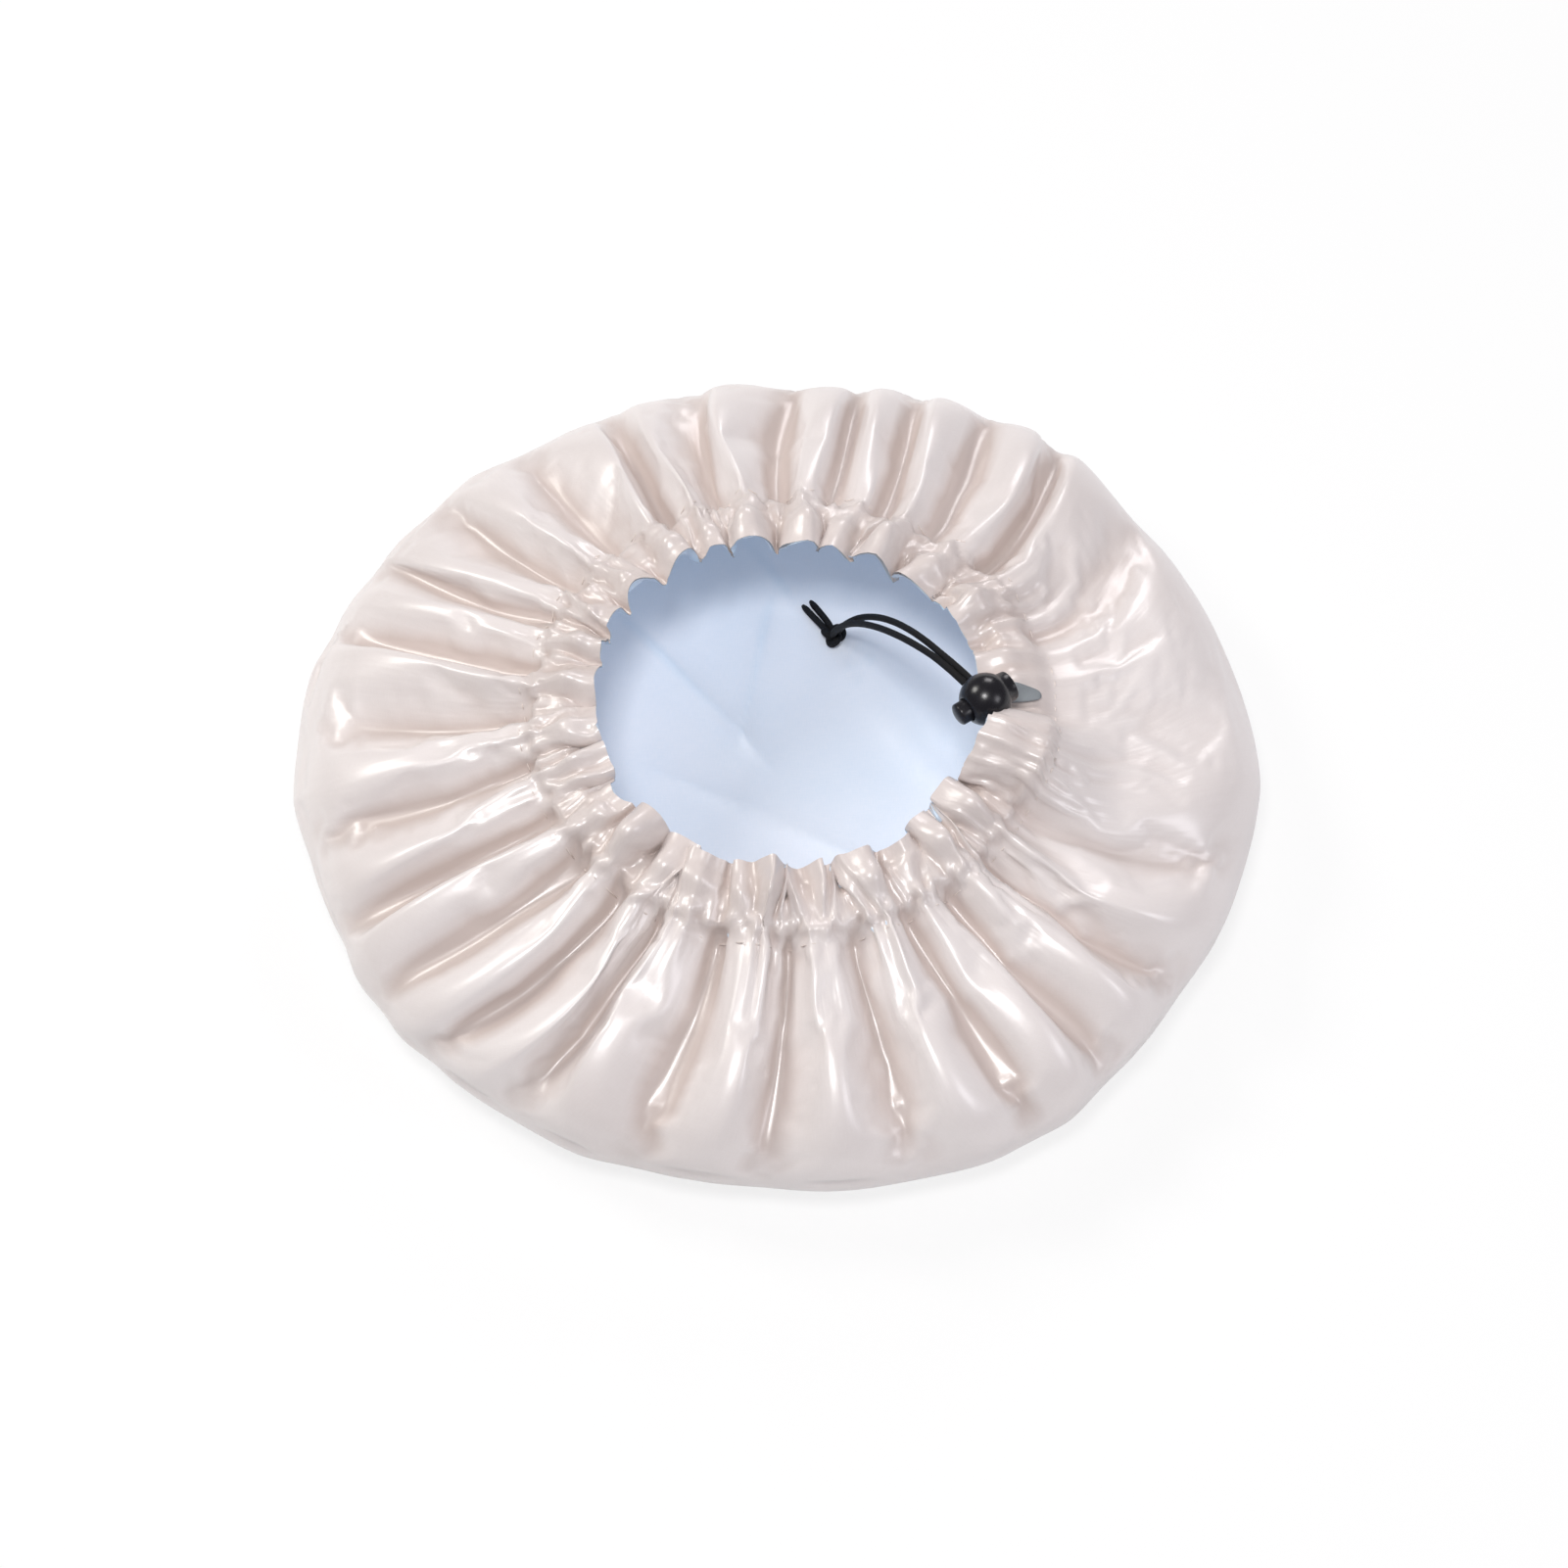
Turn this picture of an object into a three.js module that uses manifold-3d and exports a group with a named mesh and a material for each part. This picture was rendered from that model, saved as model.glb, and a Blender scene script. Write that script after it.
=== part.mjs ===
// A double-layer satin hair bonnet, drawn nearly closed and lying crown down with its opening up.
// An outer satin pouch and a blue satin lining are gathered into a stitched casing. A black elastic drawcord runs
// round the casing, leaves it at a slit, passes through a ball cord lock and ends in a knotted tail.
// Millimetres, +Z up, front at -Y. The origin is under the middle of the bonnet, on the surface it lies on.
import * as THREE from 'three';
import { mergeVertices } from 'three/addons/utils/BufferGeometryUtils.js';
import Module from 'manifold-3d';

const wasm = await Module();
wasm.setup();

// Driving dimensions of the pouch
const bonnetRadius = 175;
const crownFlatRadius = 138;
const foldHeight = 24;
const foldShoulder = 21;
const gatherRadius = 92;
const gatherHeight = 64;
const gatherDepth = 5;
const edgeRipple = 2;
const foldDepth = 2.5;
const openingShiftX = 3;
const openingShiftY = -3;

// Cloth, thicker than the real 0.2 mm so that each layer is a sound solid
const clothWall = 0.6;
const layerGap = 0.4;
const seamGap = 0.4;

// Casing, the stitched channel that ends in the hem round the opening
const casingWidth = 26;
const hemRadius = gatherRadius - casingWidth;
const casingRise = 7;
const hemHeight = gatherHeight + casingRise;
const hemFrill = 4.2;
const hemFlutter = 2.2;
const channelBulge = 3;
const channelRipple = 1.1;
const channelEdgeShare = 0.3;
const exitDip = 7;
const exitPull = 6;
const exitDipAngle = 28;
const exitDipWidth = 36;

// Lining, which hangs clear of the outer pouch on the right at the back
const liningSwell = 12;
const liningSwellAngle = 50;
const liningSwellWidth = 34;

// Elastic drawcord and stitching
const cordDiameter = 2.5;
const cordSides = 8;
const cordStep = 6.5;
const threadDiameter = 0.6;
const fitGap = 0.3;

// The tail falls from the lock to the lining in one arc, in an upright plane
const lockPlace = new THREE.Vector3(72.5, -8, 82.5);
const tailHeading = 124;
const tailStartDip = 10;
const tailRadius = 118;
const tailSweep = 61;
const strandSpacing = 2.7;
const strandSpread = 5.4;
const tailEndLength = 13;
const strandLift = 5;
const turnOver = 8;
const turnSpreadShare = 2;
const knotSize = 1.25;
const knotLapShare = 1.06;
const ringEndTurn = 0.27;
const slitPlaceShare = 0.4;

// Ball cord lock
const ballRadius = 9.2;
const mouthHeight = 7.6;
const baseRadius = 5.4;
const baseHeight = 10.5;
const baseWall = 1.2;
const buttonRadius = 4;
const buttonStandsOut = 4.8;
const buttonDome = 1.4;
const buttonTravel = 2.5;
const buttonRearWall = 1.4;
const springRadius = 2.6;
const springWire = 0.6;
const springTurns = 3;

// Tongue of facing behind the cord's exit slit
const tongueWidth = 7;
const tongueLift = 0.9;
const tongueTurn = 0.3;
const tongueSpans = 6;
const tongueTipShare = 0.5;
const tongueTipWidthShare = 0.35;
const tongueShares = [0.2, 0.52];
const exitSlitLength = 16;
const exitSlitWidth = 6.5;

const overrun = 20;

// The gathers, anticlockwise from the right: angle at the gather line, angle at the outer fold, and as shares
// the height of the ridge and how far the outer fold reaches.
const gatherShares = [
  [10, 27, 0.3, 0.95], [36, 48, 1.0, 0.973], [49, 57, 0.9, 0.975], [62, 66, 1.0, 0.94],
  [74, 75, 0.8, 0.92], [84, 82, 0.9, 0.885], [99, 93, 1.1, 0.9], [111, 108, 0.8, 0.895],
  [122, 119, 0.9, 0.88], [138, 134, 1.0, 0.94], [150, 148, 0.8, 0.95], [160, 157, 0.7, 0.96],
  [174, 168, 1.1, 0.99], [187, 186, 0.9, 0.985], [200, 200, 0.9, 0.94], [213, 211, 1.0, 0.955],
  [226, 220, 0.9, 0.95], [238, 229, 1.0, 0.93], [246, 246, 1.0, 0.93], [264, 260, 1.0, 0.903],
  [277, 277, 1.1, 0.93], [293, 296, 1.1, 0.969], [303, 306, 0.8, 0.977], [314, 318, 1.0, 0.944],
  [326, 336, 1.0, 0.955], [342, 357, 0.5, 1.0],
];
const exitTurn = gatherShares.length - 0.5;

const lerp = THREE.MathUtils.lerp;
const radians = THREE.MathUtils.degToRad;

// A turn counts gathers: a whole number is a ridge and a half is the valley after it.
function gatherAt(turn) {
  const count = gatherShares.length;
  const ridge = Math.floor(turn);
  const lap = 360;
  const here = gatherShares[((ridge % count) + count) % count];
  const next = gatherShares[(((ridge + 1) % count) + count) % count];
  const share = turn - ridge;
  const wrapped = (a, b) => lerp(a, b < a ? b + lap : b, share);
  return {
    angle: wrapped(here[0], next[0]),
    foldAngle: wrapped(here[1], next[1]),
    rise: lerp(here[2], next[2], share) * Math.cos(2 * Math.PI * turn),
    reachShare: lerp(here[3], next[3], share),
  };
}

function bell(angle, middle, width) {
  const away = ((((angle - middle) % 360) + 540) % 360) - 180;
  return Math.exp(-((away / width) ** 2));
}

// A point of the pouch: row is a place on the plain meridian, push is along its normal.
function gathered(row, push, turn) {
  const gather = gatherAt(turn);
  const angle = lerp(gather.foldAngle, gather.angle, row.climb);
  const ripple = row.ripple * gather.rise;
  const exit = row.climb ** 3 * bell(angle, exitDipAngle, exitDipWidth);
  const plain = row.radius * lerp(gather.reachShare, 1, row.climb) + exit * exitPull;
  const reach = plain + row.normal.x * (push + ripple);
  const height = row.height - exit * exitDip + row.normal.y * (push + ripple);
  return new THREE.Vector3(
    reach * Math.cos(radians(angle)) + openingShiftX * row.climb,
    reach * Math.sin(radians(angle)) + openingShiftY * row.climb,
    height,
  );
}

function leftNormal(tangent) {
  return new THREE.Vector2(tangent.y, -tangent.x).normalize();
}

// The meridian: flat crown, quarter ellipse up to the widest line, then one curve up to the gather line
const casingRun = new THREE.Vector2(hemRadius - gatherRadius, hemHeight - gatherHeight);
const slopeHandle = casingRun.clone().normalize().multiplyScalar(2 * gatherDepth + foldShoulder);
const topSlope = new THREE.CubicBezierCurve(
  new THREE.Vector2(bonnetRadius, foldHeight),
  new THREE.Vector2(bonnetRadius, foldHeight + foldShoulder),
  new THREE.Vector2(gatherRadius, gatherHeight).sub(slopeHandle),
  new THREE.Vector2(gatherRadius, gatherHeight),
);

function flatRow(radius) {
  return { radius, height: 0, normal: new THREE.Vector2(0, -1), climb: 0, ripple: 0 };
}

function turnRow(share) {
  const angle = (share - 1) * Math.PI / 2;
  const width = bonnetRadius - crownFlatRadius;
  return {
    radius: crownFlatRadius + width * Math.cos(angle),
    height: foldHeight * (1 + Math.sin(angle)),
    normal: new THREE.Vector2(Math.cos(angle) * foldHeight, Math.sin(angle) * width).normalize(),
    climb: 0,
    ripple: edgeRipple * share * share,
  };
}

function slopeRow(share) {
  const place = topSlope.getPoint(share);
  return {
    radius: place.x,
    height: place.y,
    normal: leftNormal(topSlope.getTangent(share)),
    climb: share * share * (3 - 2 * share),
    ripple: lerp(edgeRipple, gatherDepth, share) + foldDepth * Math.sin(Math.PI * share),
  };
}

const pouchRows = [
  flatRow(0), flatRow(crownFlatRadius), turnRow(0.5), turnRow(1), slopeRow(0.3), slopeRow(0.68), slopeRow(1),
];

// The casing continues the slope to the hem, and its two layers part round the cord
function casingRow(share, bulge, ripple) {
  const along = share * (casingRun.length() - seamGap) + seamGap;
  const place = casingRun.clone().normalize().multiplyScalar(along);
  return {
    radius: gatherRadius + place.x,
    height: gatherHeight + place.y,
    normal: leftNormal(casingRun),
    climb: 1,
    share,
    bulge,
    ripple,
  };
}

function casingAt(share) {
  const rise = Math.min(share / channelEdgeShare, 1);
  return casingRow(share, channelBulge * rise, lerp(gatherDepth, channelRipple, rise));
}

const casingRows = [
  casingAt(0), casingAt(channelEdgeShare), casingAt(1 - channelEdgeShare), casingRow(1, 0, hemFrill),
];

function hemmed(row, push, turn) {
  const place = gathered(row, push, turn);
  const flutter = row.share ** 2 * hemFlutter * Math.sin(4 * Math.PI * turn + turn);
  const outward = new THREE.Vector3(place.x, place.y, 0).normalize();
  return place.addScaledVector(outward, flutter);
}

// A closed profile turned into a LatheGeometry, whose points are then moved into their gathers
function gatherLathe(profile, columnsPerGather, place) {
  const columns = gatherShares.length * columnsPerGather;
  const plain = profile.map((point) => new THREE.Vector2(point.row.radius, point.row.height));
  const geometry = new THREE.LatheGeometry(plain, columns);
  const position = geometry.getAttribute('position');
  for (let column = 0; column <= columns; column++)
    profile.forEach((point, index) => {
      const turn = (column % columns) / columnsPerGather;
      const moved = place(point, turn);
      position.setXYZ(column * profile.length + index, moved.x, moved.y, moved.z);
    });
  matchFolds(geometry, profile, columns);
  return solidGeometry(geometry);
}

// The profile runs up one face of a layer and down the other. Its way back splits each quad on the other diagonal,
// so that both faces crease along the same lines and the wall keeps its thickness.
function matchFolds(geometry, profile, columns) {
  const corners = geometry.getIndex();
  const spans = profile.length - 1;
  const turnBack = Math.floor(profile.length / 2);
  for (let column = 0; column < columns; column++)
    for (let span = turnBack; span < spans; span++) {
      const near = column * profile.length + span;
      const far = near + profile.length;
      corners.array.set([near, far, far + 1, near, far + 1, near + 1], 6 * (column * spans + span));
    }
}

function solidGeometry(geometry) {
  const bare = new THREE.BufferGeometry().setAttribute('position', geometry.getAttribute('position'));
  if (geometry.index) bare.setIndex(geometry.index);
  return mergeVertices(bare);
}

function layerProfile(rows, outside, inside) {
  const there = rows.map((row) => ({ row, push: outside(row) }));
  const back = rows.map((row) => ({ row, push: inside(row) })).reverse();
  return [...there, ...back];
}

function outerPouch() {
  const profile = layerProfile(pouchRows, () => 0, () => -clothWall);
  return gatherLathe(profile, 4, (point, turn) => gathered(point.row, point.push, turn));
}

function liningPouch() {
  const face = -(clothWall + layerGap);
  const profile = layerProfile(pouchRows, () => face, () => face - clothWall);
  return gatherLathe(profile, 4, (point, turn) => {
    const rises = point.row.height > 0 ? 1 - point.row.climb ** 2 : 0;
    const swell = liningSwell * rises * bell(gatherAt(turn).foldAngle, liningSwellAngle, liningSwellWidth);
    return gathered(point.row, point.push - swell, turn);
  });
}

function closedProfile(rows, outside, inside) {
  const profile = layerProfile(rows, outside, inside);
  return [...profile, profile[0]];
}

function casingOuter() {
  const profile = closedProfile(casingRows, (row) => row.bulge, (row) => row.bulge - clothWall);
  return gatherLathe(profile, 6, (point, turn) => hemmed(point.row, point.push, turn));
}

function casingLining() {
  const face = (row) => -(clothWall + layerGap) - row.bulge;
  const profile = closedProfile(casingRows, face, (row) => face(row) - clothWall);
  return gatherLathe(profile, 6, (point, turn) => hemmed(point.row, point.push, turn));
}

// Booleans
function manifoldOf(geometry, matrix = new THREE.Matrix4()) {
  const placed = solidGeometry(geometry.clone().applyMatrix4(matrix));
  return new wasm.Manifold(new wasm.Mesh({
    numProp: 3,
    vertProperties: new Float32Array(placed.getAttribute('position').array),
    triVerts: new Uint32Array(placed.index.array),
  }));
}

function geometryOf(solid) {
  const mesh = solid.getMesh();
  return new THREE.BufferGeometry()
    .setAttribute('position', new THREE.BufferAttribute(new Float32Array(mesh.vertProperties), 3))
    .setIndex(new THREE.BufferAttribute(new Uint32Array(mesh.triVerts), 1));
}

function roundSection(diameter, sides = cordSides) {
  const section = new THREE.Shape();
  for (let side = 0; side < sides; side++) {
    const angle = (side / sides) * 2 * Math.PI;
    const x = (diameter / 2) * Math.cos(angle);
    const y = (diameter / 2) * Math.sin(angle);
    if (side === 0) section.moveTo(x, y);
    else section.lineTo(x, y);
  }
  section.closePath();
  return section;
}

function tubeAlong(path, diameter, steps, sides) {
  const shape = roundSection(diameter, sides);
  return new THREE.ExtrudeGeometry(shape, { extrudePath: path, steps, bevelEnabled: false });
}

// The tail's arc, and the frame of the lock on it: x along the cord, y along the button, z away from the arc's centre
const heading = new THREE.Vector3(Math.cos(radians(tailHeading)), Math.sin(radians(tailHeading)), 0);
const hingeAxis = new THREE.Vector3(0, 0, 1).cross(heading);

function arcRadial(sweep) {
  const dip = radians(tailStartDip + sweep);
  return heading.clone().multiplyScalar(Math.sin(dip)).add(new THREE.Vector3(0, 0, Math.cos(dip)));
}

const arcCentre = lockPlace.clone().addScaledVector(arcRadial(0), -tailRadius);

function onArc(sweep, aside) {
  return arcCentre.clone().addScaledVector(arcRadial(sweep), tailRadius).addScaledVector(hingeAxis, aside);
}

const arcMillimetre = 180 / (Math.PI * tailRadius);
const knotHalf = 3 * knotSize + cordDiameter / 2;
const lockRear = -(ballRadius + 1) * arcMillimetre;
const tailFullSweep = tailSweep - (knotHalf + fitGap) * arcMillimetre;

function strandAside(share, side) {
  const open = Math.sin(Math.PI * THREE.MathUtils.clamp((share - 0.3) / 0.7, 0, 1));
  return (side * lerp(strandSpacing, strandSpread, open)) / 2;
}

// The drawcord's ring in the channel, and the two places where it ends under the slit
const cordRow = casingRow(0.5, 0, 0);
const cordPush = -(clothWall + layerGap / 2);
function ringPlace(turn) {
  return gathered({ ...cordRow, ripple: 0 }, cordPush, turn);
}

function drawcordRing() {
  const points = [];
  const last = gatherShares.length - 2 * ringEndTurn;
  const count = 2 * gatherShares.length;
  for (let index = 0; index <= count; index++)
    points.push(ringPlace(exitTurn + ringEndTurn + (last * index) / count));
  const path = new THREE.CatmullRomCurve3(points);
  return tubeAlong(path, cordDiameter, Math.round(path.getLength() / cordStep));
}

// Each strand leaves the ring's end, rises through the slit, turns over into the back of the lock and then falls
// along the arc to the knot
function strandPath(side) {
  const reach = -side * ringEndTurn;
  const end = ringPlace(exitTurn + reach);
  const inward = ringPlace(exitTurn + reach * 0.8).sub(end).normalize();
  const slitPlace = ringPlace(exitTurn + reach * slitPlaceShare);
  const rear = onArc(lockRear, strandAside(0, side));
  const back = rear.clone().sub(onArc(lockRear / 2, strandAside(0, side))).normalize();
  const turn = onArc(lockRear, strandAside(0, side) * turnSpreadShare);
  const points = [
    end.clone().addScaledVector(inward, fitGap),
    end.clone().addScaledVector(inward, cordDiameter),
    slitPlace.clone().add(new THREE.Vector3(0, 0, strandLift)),
    turn.addScaledVector(back, turnOver).add(new THREE.Vector3(0, 0, -turnOver)),
    rear.clone().addScaledVector(back, turnOver / 2).add(new THREE.Vector3(0, 0, -turnOver / 8)),
  ];
  const count = 16;
  for (let index = 0; index <= count; index++) {
    const share = index / count;
    points.push(onArc(lerp(lockRear, tailFullSweep, share), strandAside(share, side)));
  }
  return new THREE.CatmullRomCurve3(points, false, 'centripetal');
}

function tailStrand(side) {
  const path = strandPath(side);
  return tubeAlong(path, cordDiameter, Math.round(path.getLength() / (cordDiameter * 1.6)));
}

// An overhand knot: a trefoil of cord in three lengths, joined where they press on each other
class KnotThird extends THREE.Curve {
  constructor(third) {
    super();
    this.third = third;
  }
  getPoint(share, target = new THREE.Vector3()) {
    const angle = ((this.third + share * knotLapShare) / 3) * 2 * Math.PI;
    return target.set(
      knotSize * (Math.sin(angle) + 2 * Math.sin(2 * angle)),
      knotSize * (Math.cos(angle) - 2 * Math.cos(2 * angle)),
      -knotSize * Math.sin(3 * angle),
    );
  }
}

function tailKnot() {
  const steps = 10;
  const thirds = [0, 1, 2].map((third) => manifoldOf(tubeAlong(new KnotThird(third), cordDiameter * 1.12, steps)));
  const core = manifoldOf(new THREE.SphereGeometry(knotSize * 2, cordSides, cordSides));
  return geometryOf(thirds.reduce((whole, third) => whole.add(third), core));
}

function tailEnd(side) {
  const start = onArc(tailSweep, 0);
  const level = heading.clone();
  const across = hingeAxis.clone().multiplyScalar((side * strandSpacing) / 2);
  const from = start.clone().addScaledVector(level, knotHalf + fitGap).add(across);
  from.z = knotPlace.z;
  const to = from.clone().addScaledVector(level, tailEndLength).addScaledVector(across, fitGap * 2);
  to.z = clothTop + fitGap + cordDiameter / 2;
  const middle = from.clone().lerp(to, 0.5);
  return tubeAlong(new THREE.CatmullRomCurve3([from, middle, to]), cordDiameter, 4);
}

const clothTop = 2 * clothWall + layerGap;
const knotPlace = onArc(tailSweep, 0);
knotPlace.z = clothTop + fitGap + knotSize + cordDiameter * 0.56;

// The lock, in its own frame
function obround(length, width) {
  const shape = new THREE.Shape();
  const straight = (length - width) / 2;
  shape.absarc(straight, 0, width / 2, -Math.PI / 2, Math.PI / 2);
  shape.absarc(-straight, 0, width / 2, Math.PI / 2, (3 * Math.PI) / 2);
  shape.closePath();
  return shape;
}

const boreLength = strandSpacing + cordDiameter + 2 * fitGap;
const boreWidth = cordDiameter + 4 * fitGap;
const windowLow = -boreLength / 2;
const windowHigh = boreLength / 2 + buttonTravel;
const buttonRear = windowLow - buttonRearWall;
const cavityRear = -(baseHeight - baseWall);

// A passage through the lock along x, from low to high along y
function cordPassage(low, high, width) {
  const depth = 2 * ballRadius + 2 * overrun;
  const slot = new THREE.ExtrudeGeometry(obround(high - low, width), { depth, bevelEnabled: false, curveSegments: 8 });
  slot.translate(0, 0, -depth / 2);
  slot.rotateZ(Math.PI / 2);
  slot.rotateY(Math.PI / 2);
  slot.translate(0, (low + high) / 2, 0);
  return manifoldOf(slot);
}

function roundBar(radius, low, high, sides = 28) {
  return new THREE.CylinderGeometry(radius, radius, high - low, sides).translate(0, (low + high) / 2, 0);
}

function lockBody() {
  const ball = manifoldOf(new THREE.SphereGeometry(ballRadius, 32, 20));
  const base = manifoldOf(roundBar(baseRadius, -baseHeight, 0));
  const cavity = manifoldOf(roundBar(buttonRadius + fitGap, cavityRear, mouthHeight + overrun));
  const mouthCut = manifoldOf(roundBar(ballRadius, mouthHeight, mouthHeight + overrun));
  const bore = cordPassage(-boreLength / 2, boreLength / 2, boreWidth);
  return geometryOf(ball.add(base).subtract(cavity).subtract(mouthCut).subtract(bore));
}

function lockButton() {
  const top = mouthHeight + buttonStandsOut;
  const profile = new THREE.Path();
  profile.moveTo(0, buttonRear);
  profile.lineTo(buttonRadius, buttonRear);
  profile.lineTo(buttonRadius, top - buttonDome);
  profile.quadraticCurveTo(buttonRadius, top, 0, top);
  const turned = manifoldOf(new THREE.LatheGeometry(profile.getPoints(5), 28));
  return geometryOf(turned.subtract(cordPassage(windowLow, windowHigh, boreWidth)));
}

class SpringCurve extends THREE.Curve {
  getPoint(share, target = new THREE.Vector3()) {
    const low = cavityRear + fitGap + springWire / 2;
    const high = buttonRear - fitGap - springWire / 2;
    const angle = share * springTurns * 2 * Math.PI;
    return target.set(springRadius * Math.cos(angle), lerp(low, high, share), springRadius * Math.sin(angle));
  }
}

function lockSpring() {
  return tubeAlong(new SpringCurve(), springWire, springTurns * 8, 5);
}

// The tongue lies on the casing, over the outer end of the slit, and narrows to a rounded tip
function exitTongue() {
  const patch = new THREE.BoxGeometry(1, 1, 1, tongueSpans, 2, 1);
  const position = patch.getAttribute('position');
  const turnOfMillimetre = 1 / (gatherRadius * radians(gatherAt(exitTurn).angle - gatherAt(exitTurn - 1).angle));
  for (let index = 0; index < position.count; index++) {
    const fromTip = 0.5 - position.getX(index);
    const run = Math.min(fromTip / tongueTipShare, 1);
    const width = tongueWidth * lerp(tongueTipWidthShare, 1, Math.sqrt(run * (2 - run)));
    const row = casingAt(lerp(...tongueShares, fromTip));
    const push = row.bulge + tongueLift + (position.getZ(index) + 0.5) * clothWall;
    const place = gathered(row, push, exitTurn + tongueTurn + position.getY(index) * width * turnOfMillimetre);
    position.setXYZ(index, place.x, place.y, place.z);
  }
  return solidGeometry(patch);
}

function stitchRing() {
  const aside = casingRun.clone().normalize().multiplyScalar(-threadDiameter);
  const row = { ...pouchRows.at(-1), radius: gatherRadius + aside.x, height: gatherHeight + aside.y };
  const push = threadDiameter / 2 + fitGap;
  const columnsPerGather = 4;
  const count = gatherShares.length * columnsPerGather;
  const sides = 4;
  const section = [0, 1, 2, 3, 4].map((corner) => ((corner % sides) / sides) * 2 * Math.PI);
  const profile = section.map((angle) => new THREE.Vector2(
    gatherRadius + (threadDiameter / 2) * Math.cos(angle),
    gatherHeight + (threadDiameter / 2) * Math.sin(angle),
  ));
  const geometry = new THREE.LatheGeometry(profile, count);
  const position = geometry.getAttribute('position');
  for (let column = 0; column <= count; column++)
    profile.forEach((point, index) => {
      const middle = gathered(row, push, (column % count) / columnsPerGather);
      const outward = new THREE.Vector3(middle.x, middle.y, 0).normalize();
      const moved = middle.addScaledVector(outward, point.x - gatherRadius);
      position.setXYZ(column * profile.length + index, moved.x, moved.y, moved.z + point.y - gatherHeight);
    });
  return solidGeometry(geometry);
}

// Materials
const satin = { color: 0xe5dcd6, roughness: 0.34, metalness: 0.1 };
const liningSatin = { color: 0xc9dbf0, roughness: 0.4, metalness: 0.05 };
const elastic = { color: 0x0b0b0c, roughness: 0.85, metalness: 0 };
const plastic = { color: 0x1d1d20, roughness: 0.45, metalness: 0 };
const facing = { color: 0x868c90, roughness: 0.6, metalness: 0 };
const thread = { color: 0xd9cdc4, roughness: 0.7, metalness: 0 };
const wire = { color: 0xa9abad, roughness: 0.3, metalness: 1 };

function piece(name, geometry, look) {
  const mesh = new THREE.Mesh(geometry, new THREE.MeshStandardMaterial(look));
  mesh.name = name;
  return mesh;
}

const bonnet = new THREE.Group();

function withSlit(geometry) {
  const place = ringPlace(exitTurn);
  const slit = new THREE.ExtrudeGeometry(obround(exitSlitLength, exitSlitWidth), {
    depth: overrun, bevelEnabled: false, curveSegments: 6,
  });
  slit.rotateZ(Math.PI / 2).translate(place.x, place.y, place.z);
  return geometryOf(manifoldOf(geometry).subtract(manifoldOf(slit)));
}

bonnet.add(
  piece('outer_satin', outerPouch(), satin),
  piece('lining_satin', liningPouch(), liningSatin),
  piece('casing_outer', withSlit(casingOuter()), satin),
  piece('casing_lining', casingLining(), liningSatin),
  piece('casing_stitching', stitchRing(), thread),
  piece('exit_facing', exitTongue(), facing),
  piece('drawcord', drawcordRing(), elastic),
  piece('tail_strand_front', tailStrand(1), elastic),
  piece('tail_strand_back', tailStrand(-1), elastic),
  piece('tail_end_front', tailEnd(1), elastic),
  piece('tail_end_back', tailEnd(-1), elastic),
);

const knot = piece('tail_knot', tailKnot(), elastic);
knot.position.copy(knotPlace);
bonnet.add(knot);

const lock = new THREE.Group();
lock.position.copy(lockPlace);
const alongCord = hingeAxis.clone().cross(arcRadial(0));
lock.quaternion.setFromRotationMatrix(new THREE.Matrix4().makeBasis(alongCord, hingeAxis, arcRadial(0)));
lock.add(
  piece('lock_body', lockBody(), plastic),
  piece('lock_button', lockButton(), plastic),
  piece('lock_spring', lockSpring(), wire),
);
bonnet.add(lock);

// The origin goes under the middle of the bonnet
const part = new THREE.Group();
const box = new THREE.Box3().setFromObject(bonnet, true);
bonnet.position.set(-(box.min.x + box.max.x) / 2, -(box.min.y + box.max.y) / 2, -box.min.z);
part.add(bonnet);

export default part;
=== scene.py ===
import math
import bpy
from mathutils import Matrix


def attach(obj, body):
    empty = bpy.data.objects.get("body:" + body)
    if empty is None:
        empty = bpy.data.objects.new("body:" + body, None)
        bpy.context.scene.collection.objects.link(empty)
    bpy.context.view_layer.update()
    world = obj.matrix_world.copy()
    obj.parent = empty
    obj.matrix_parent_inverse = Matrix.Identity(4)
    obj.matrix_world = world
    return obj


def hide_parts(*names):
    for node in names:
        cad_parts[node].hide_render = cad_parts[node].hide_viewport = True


bl_info = {
    "name": "Satin Hair Bonnet",
    "version": (1, 0, 0),
    "blender": (4, 5, 0),
    "location": "View3D > Sidebar > Bonnet",
    "description": "Gathers a double-layer satin bonnet on its elastic drawcord, in a plain studio",
    "category": "Add Mesh",
}

from functools import partial

import bmesh
import bpy
import numpy as np
from bpy.props import FloatProperty, FloatVectorProperty, IntProperty, PointerProperty
from mathutils import Matrix, Vector

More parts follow.
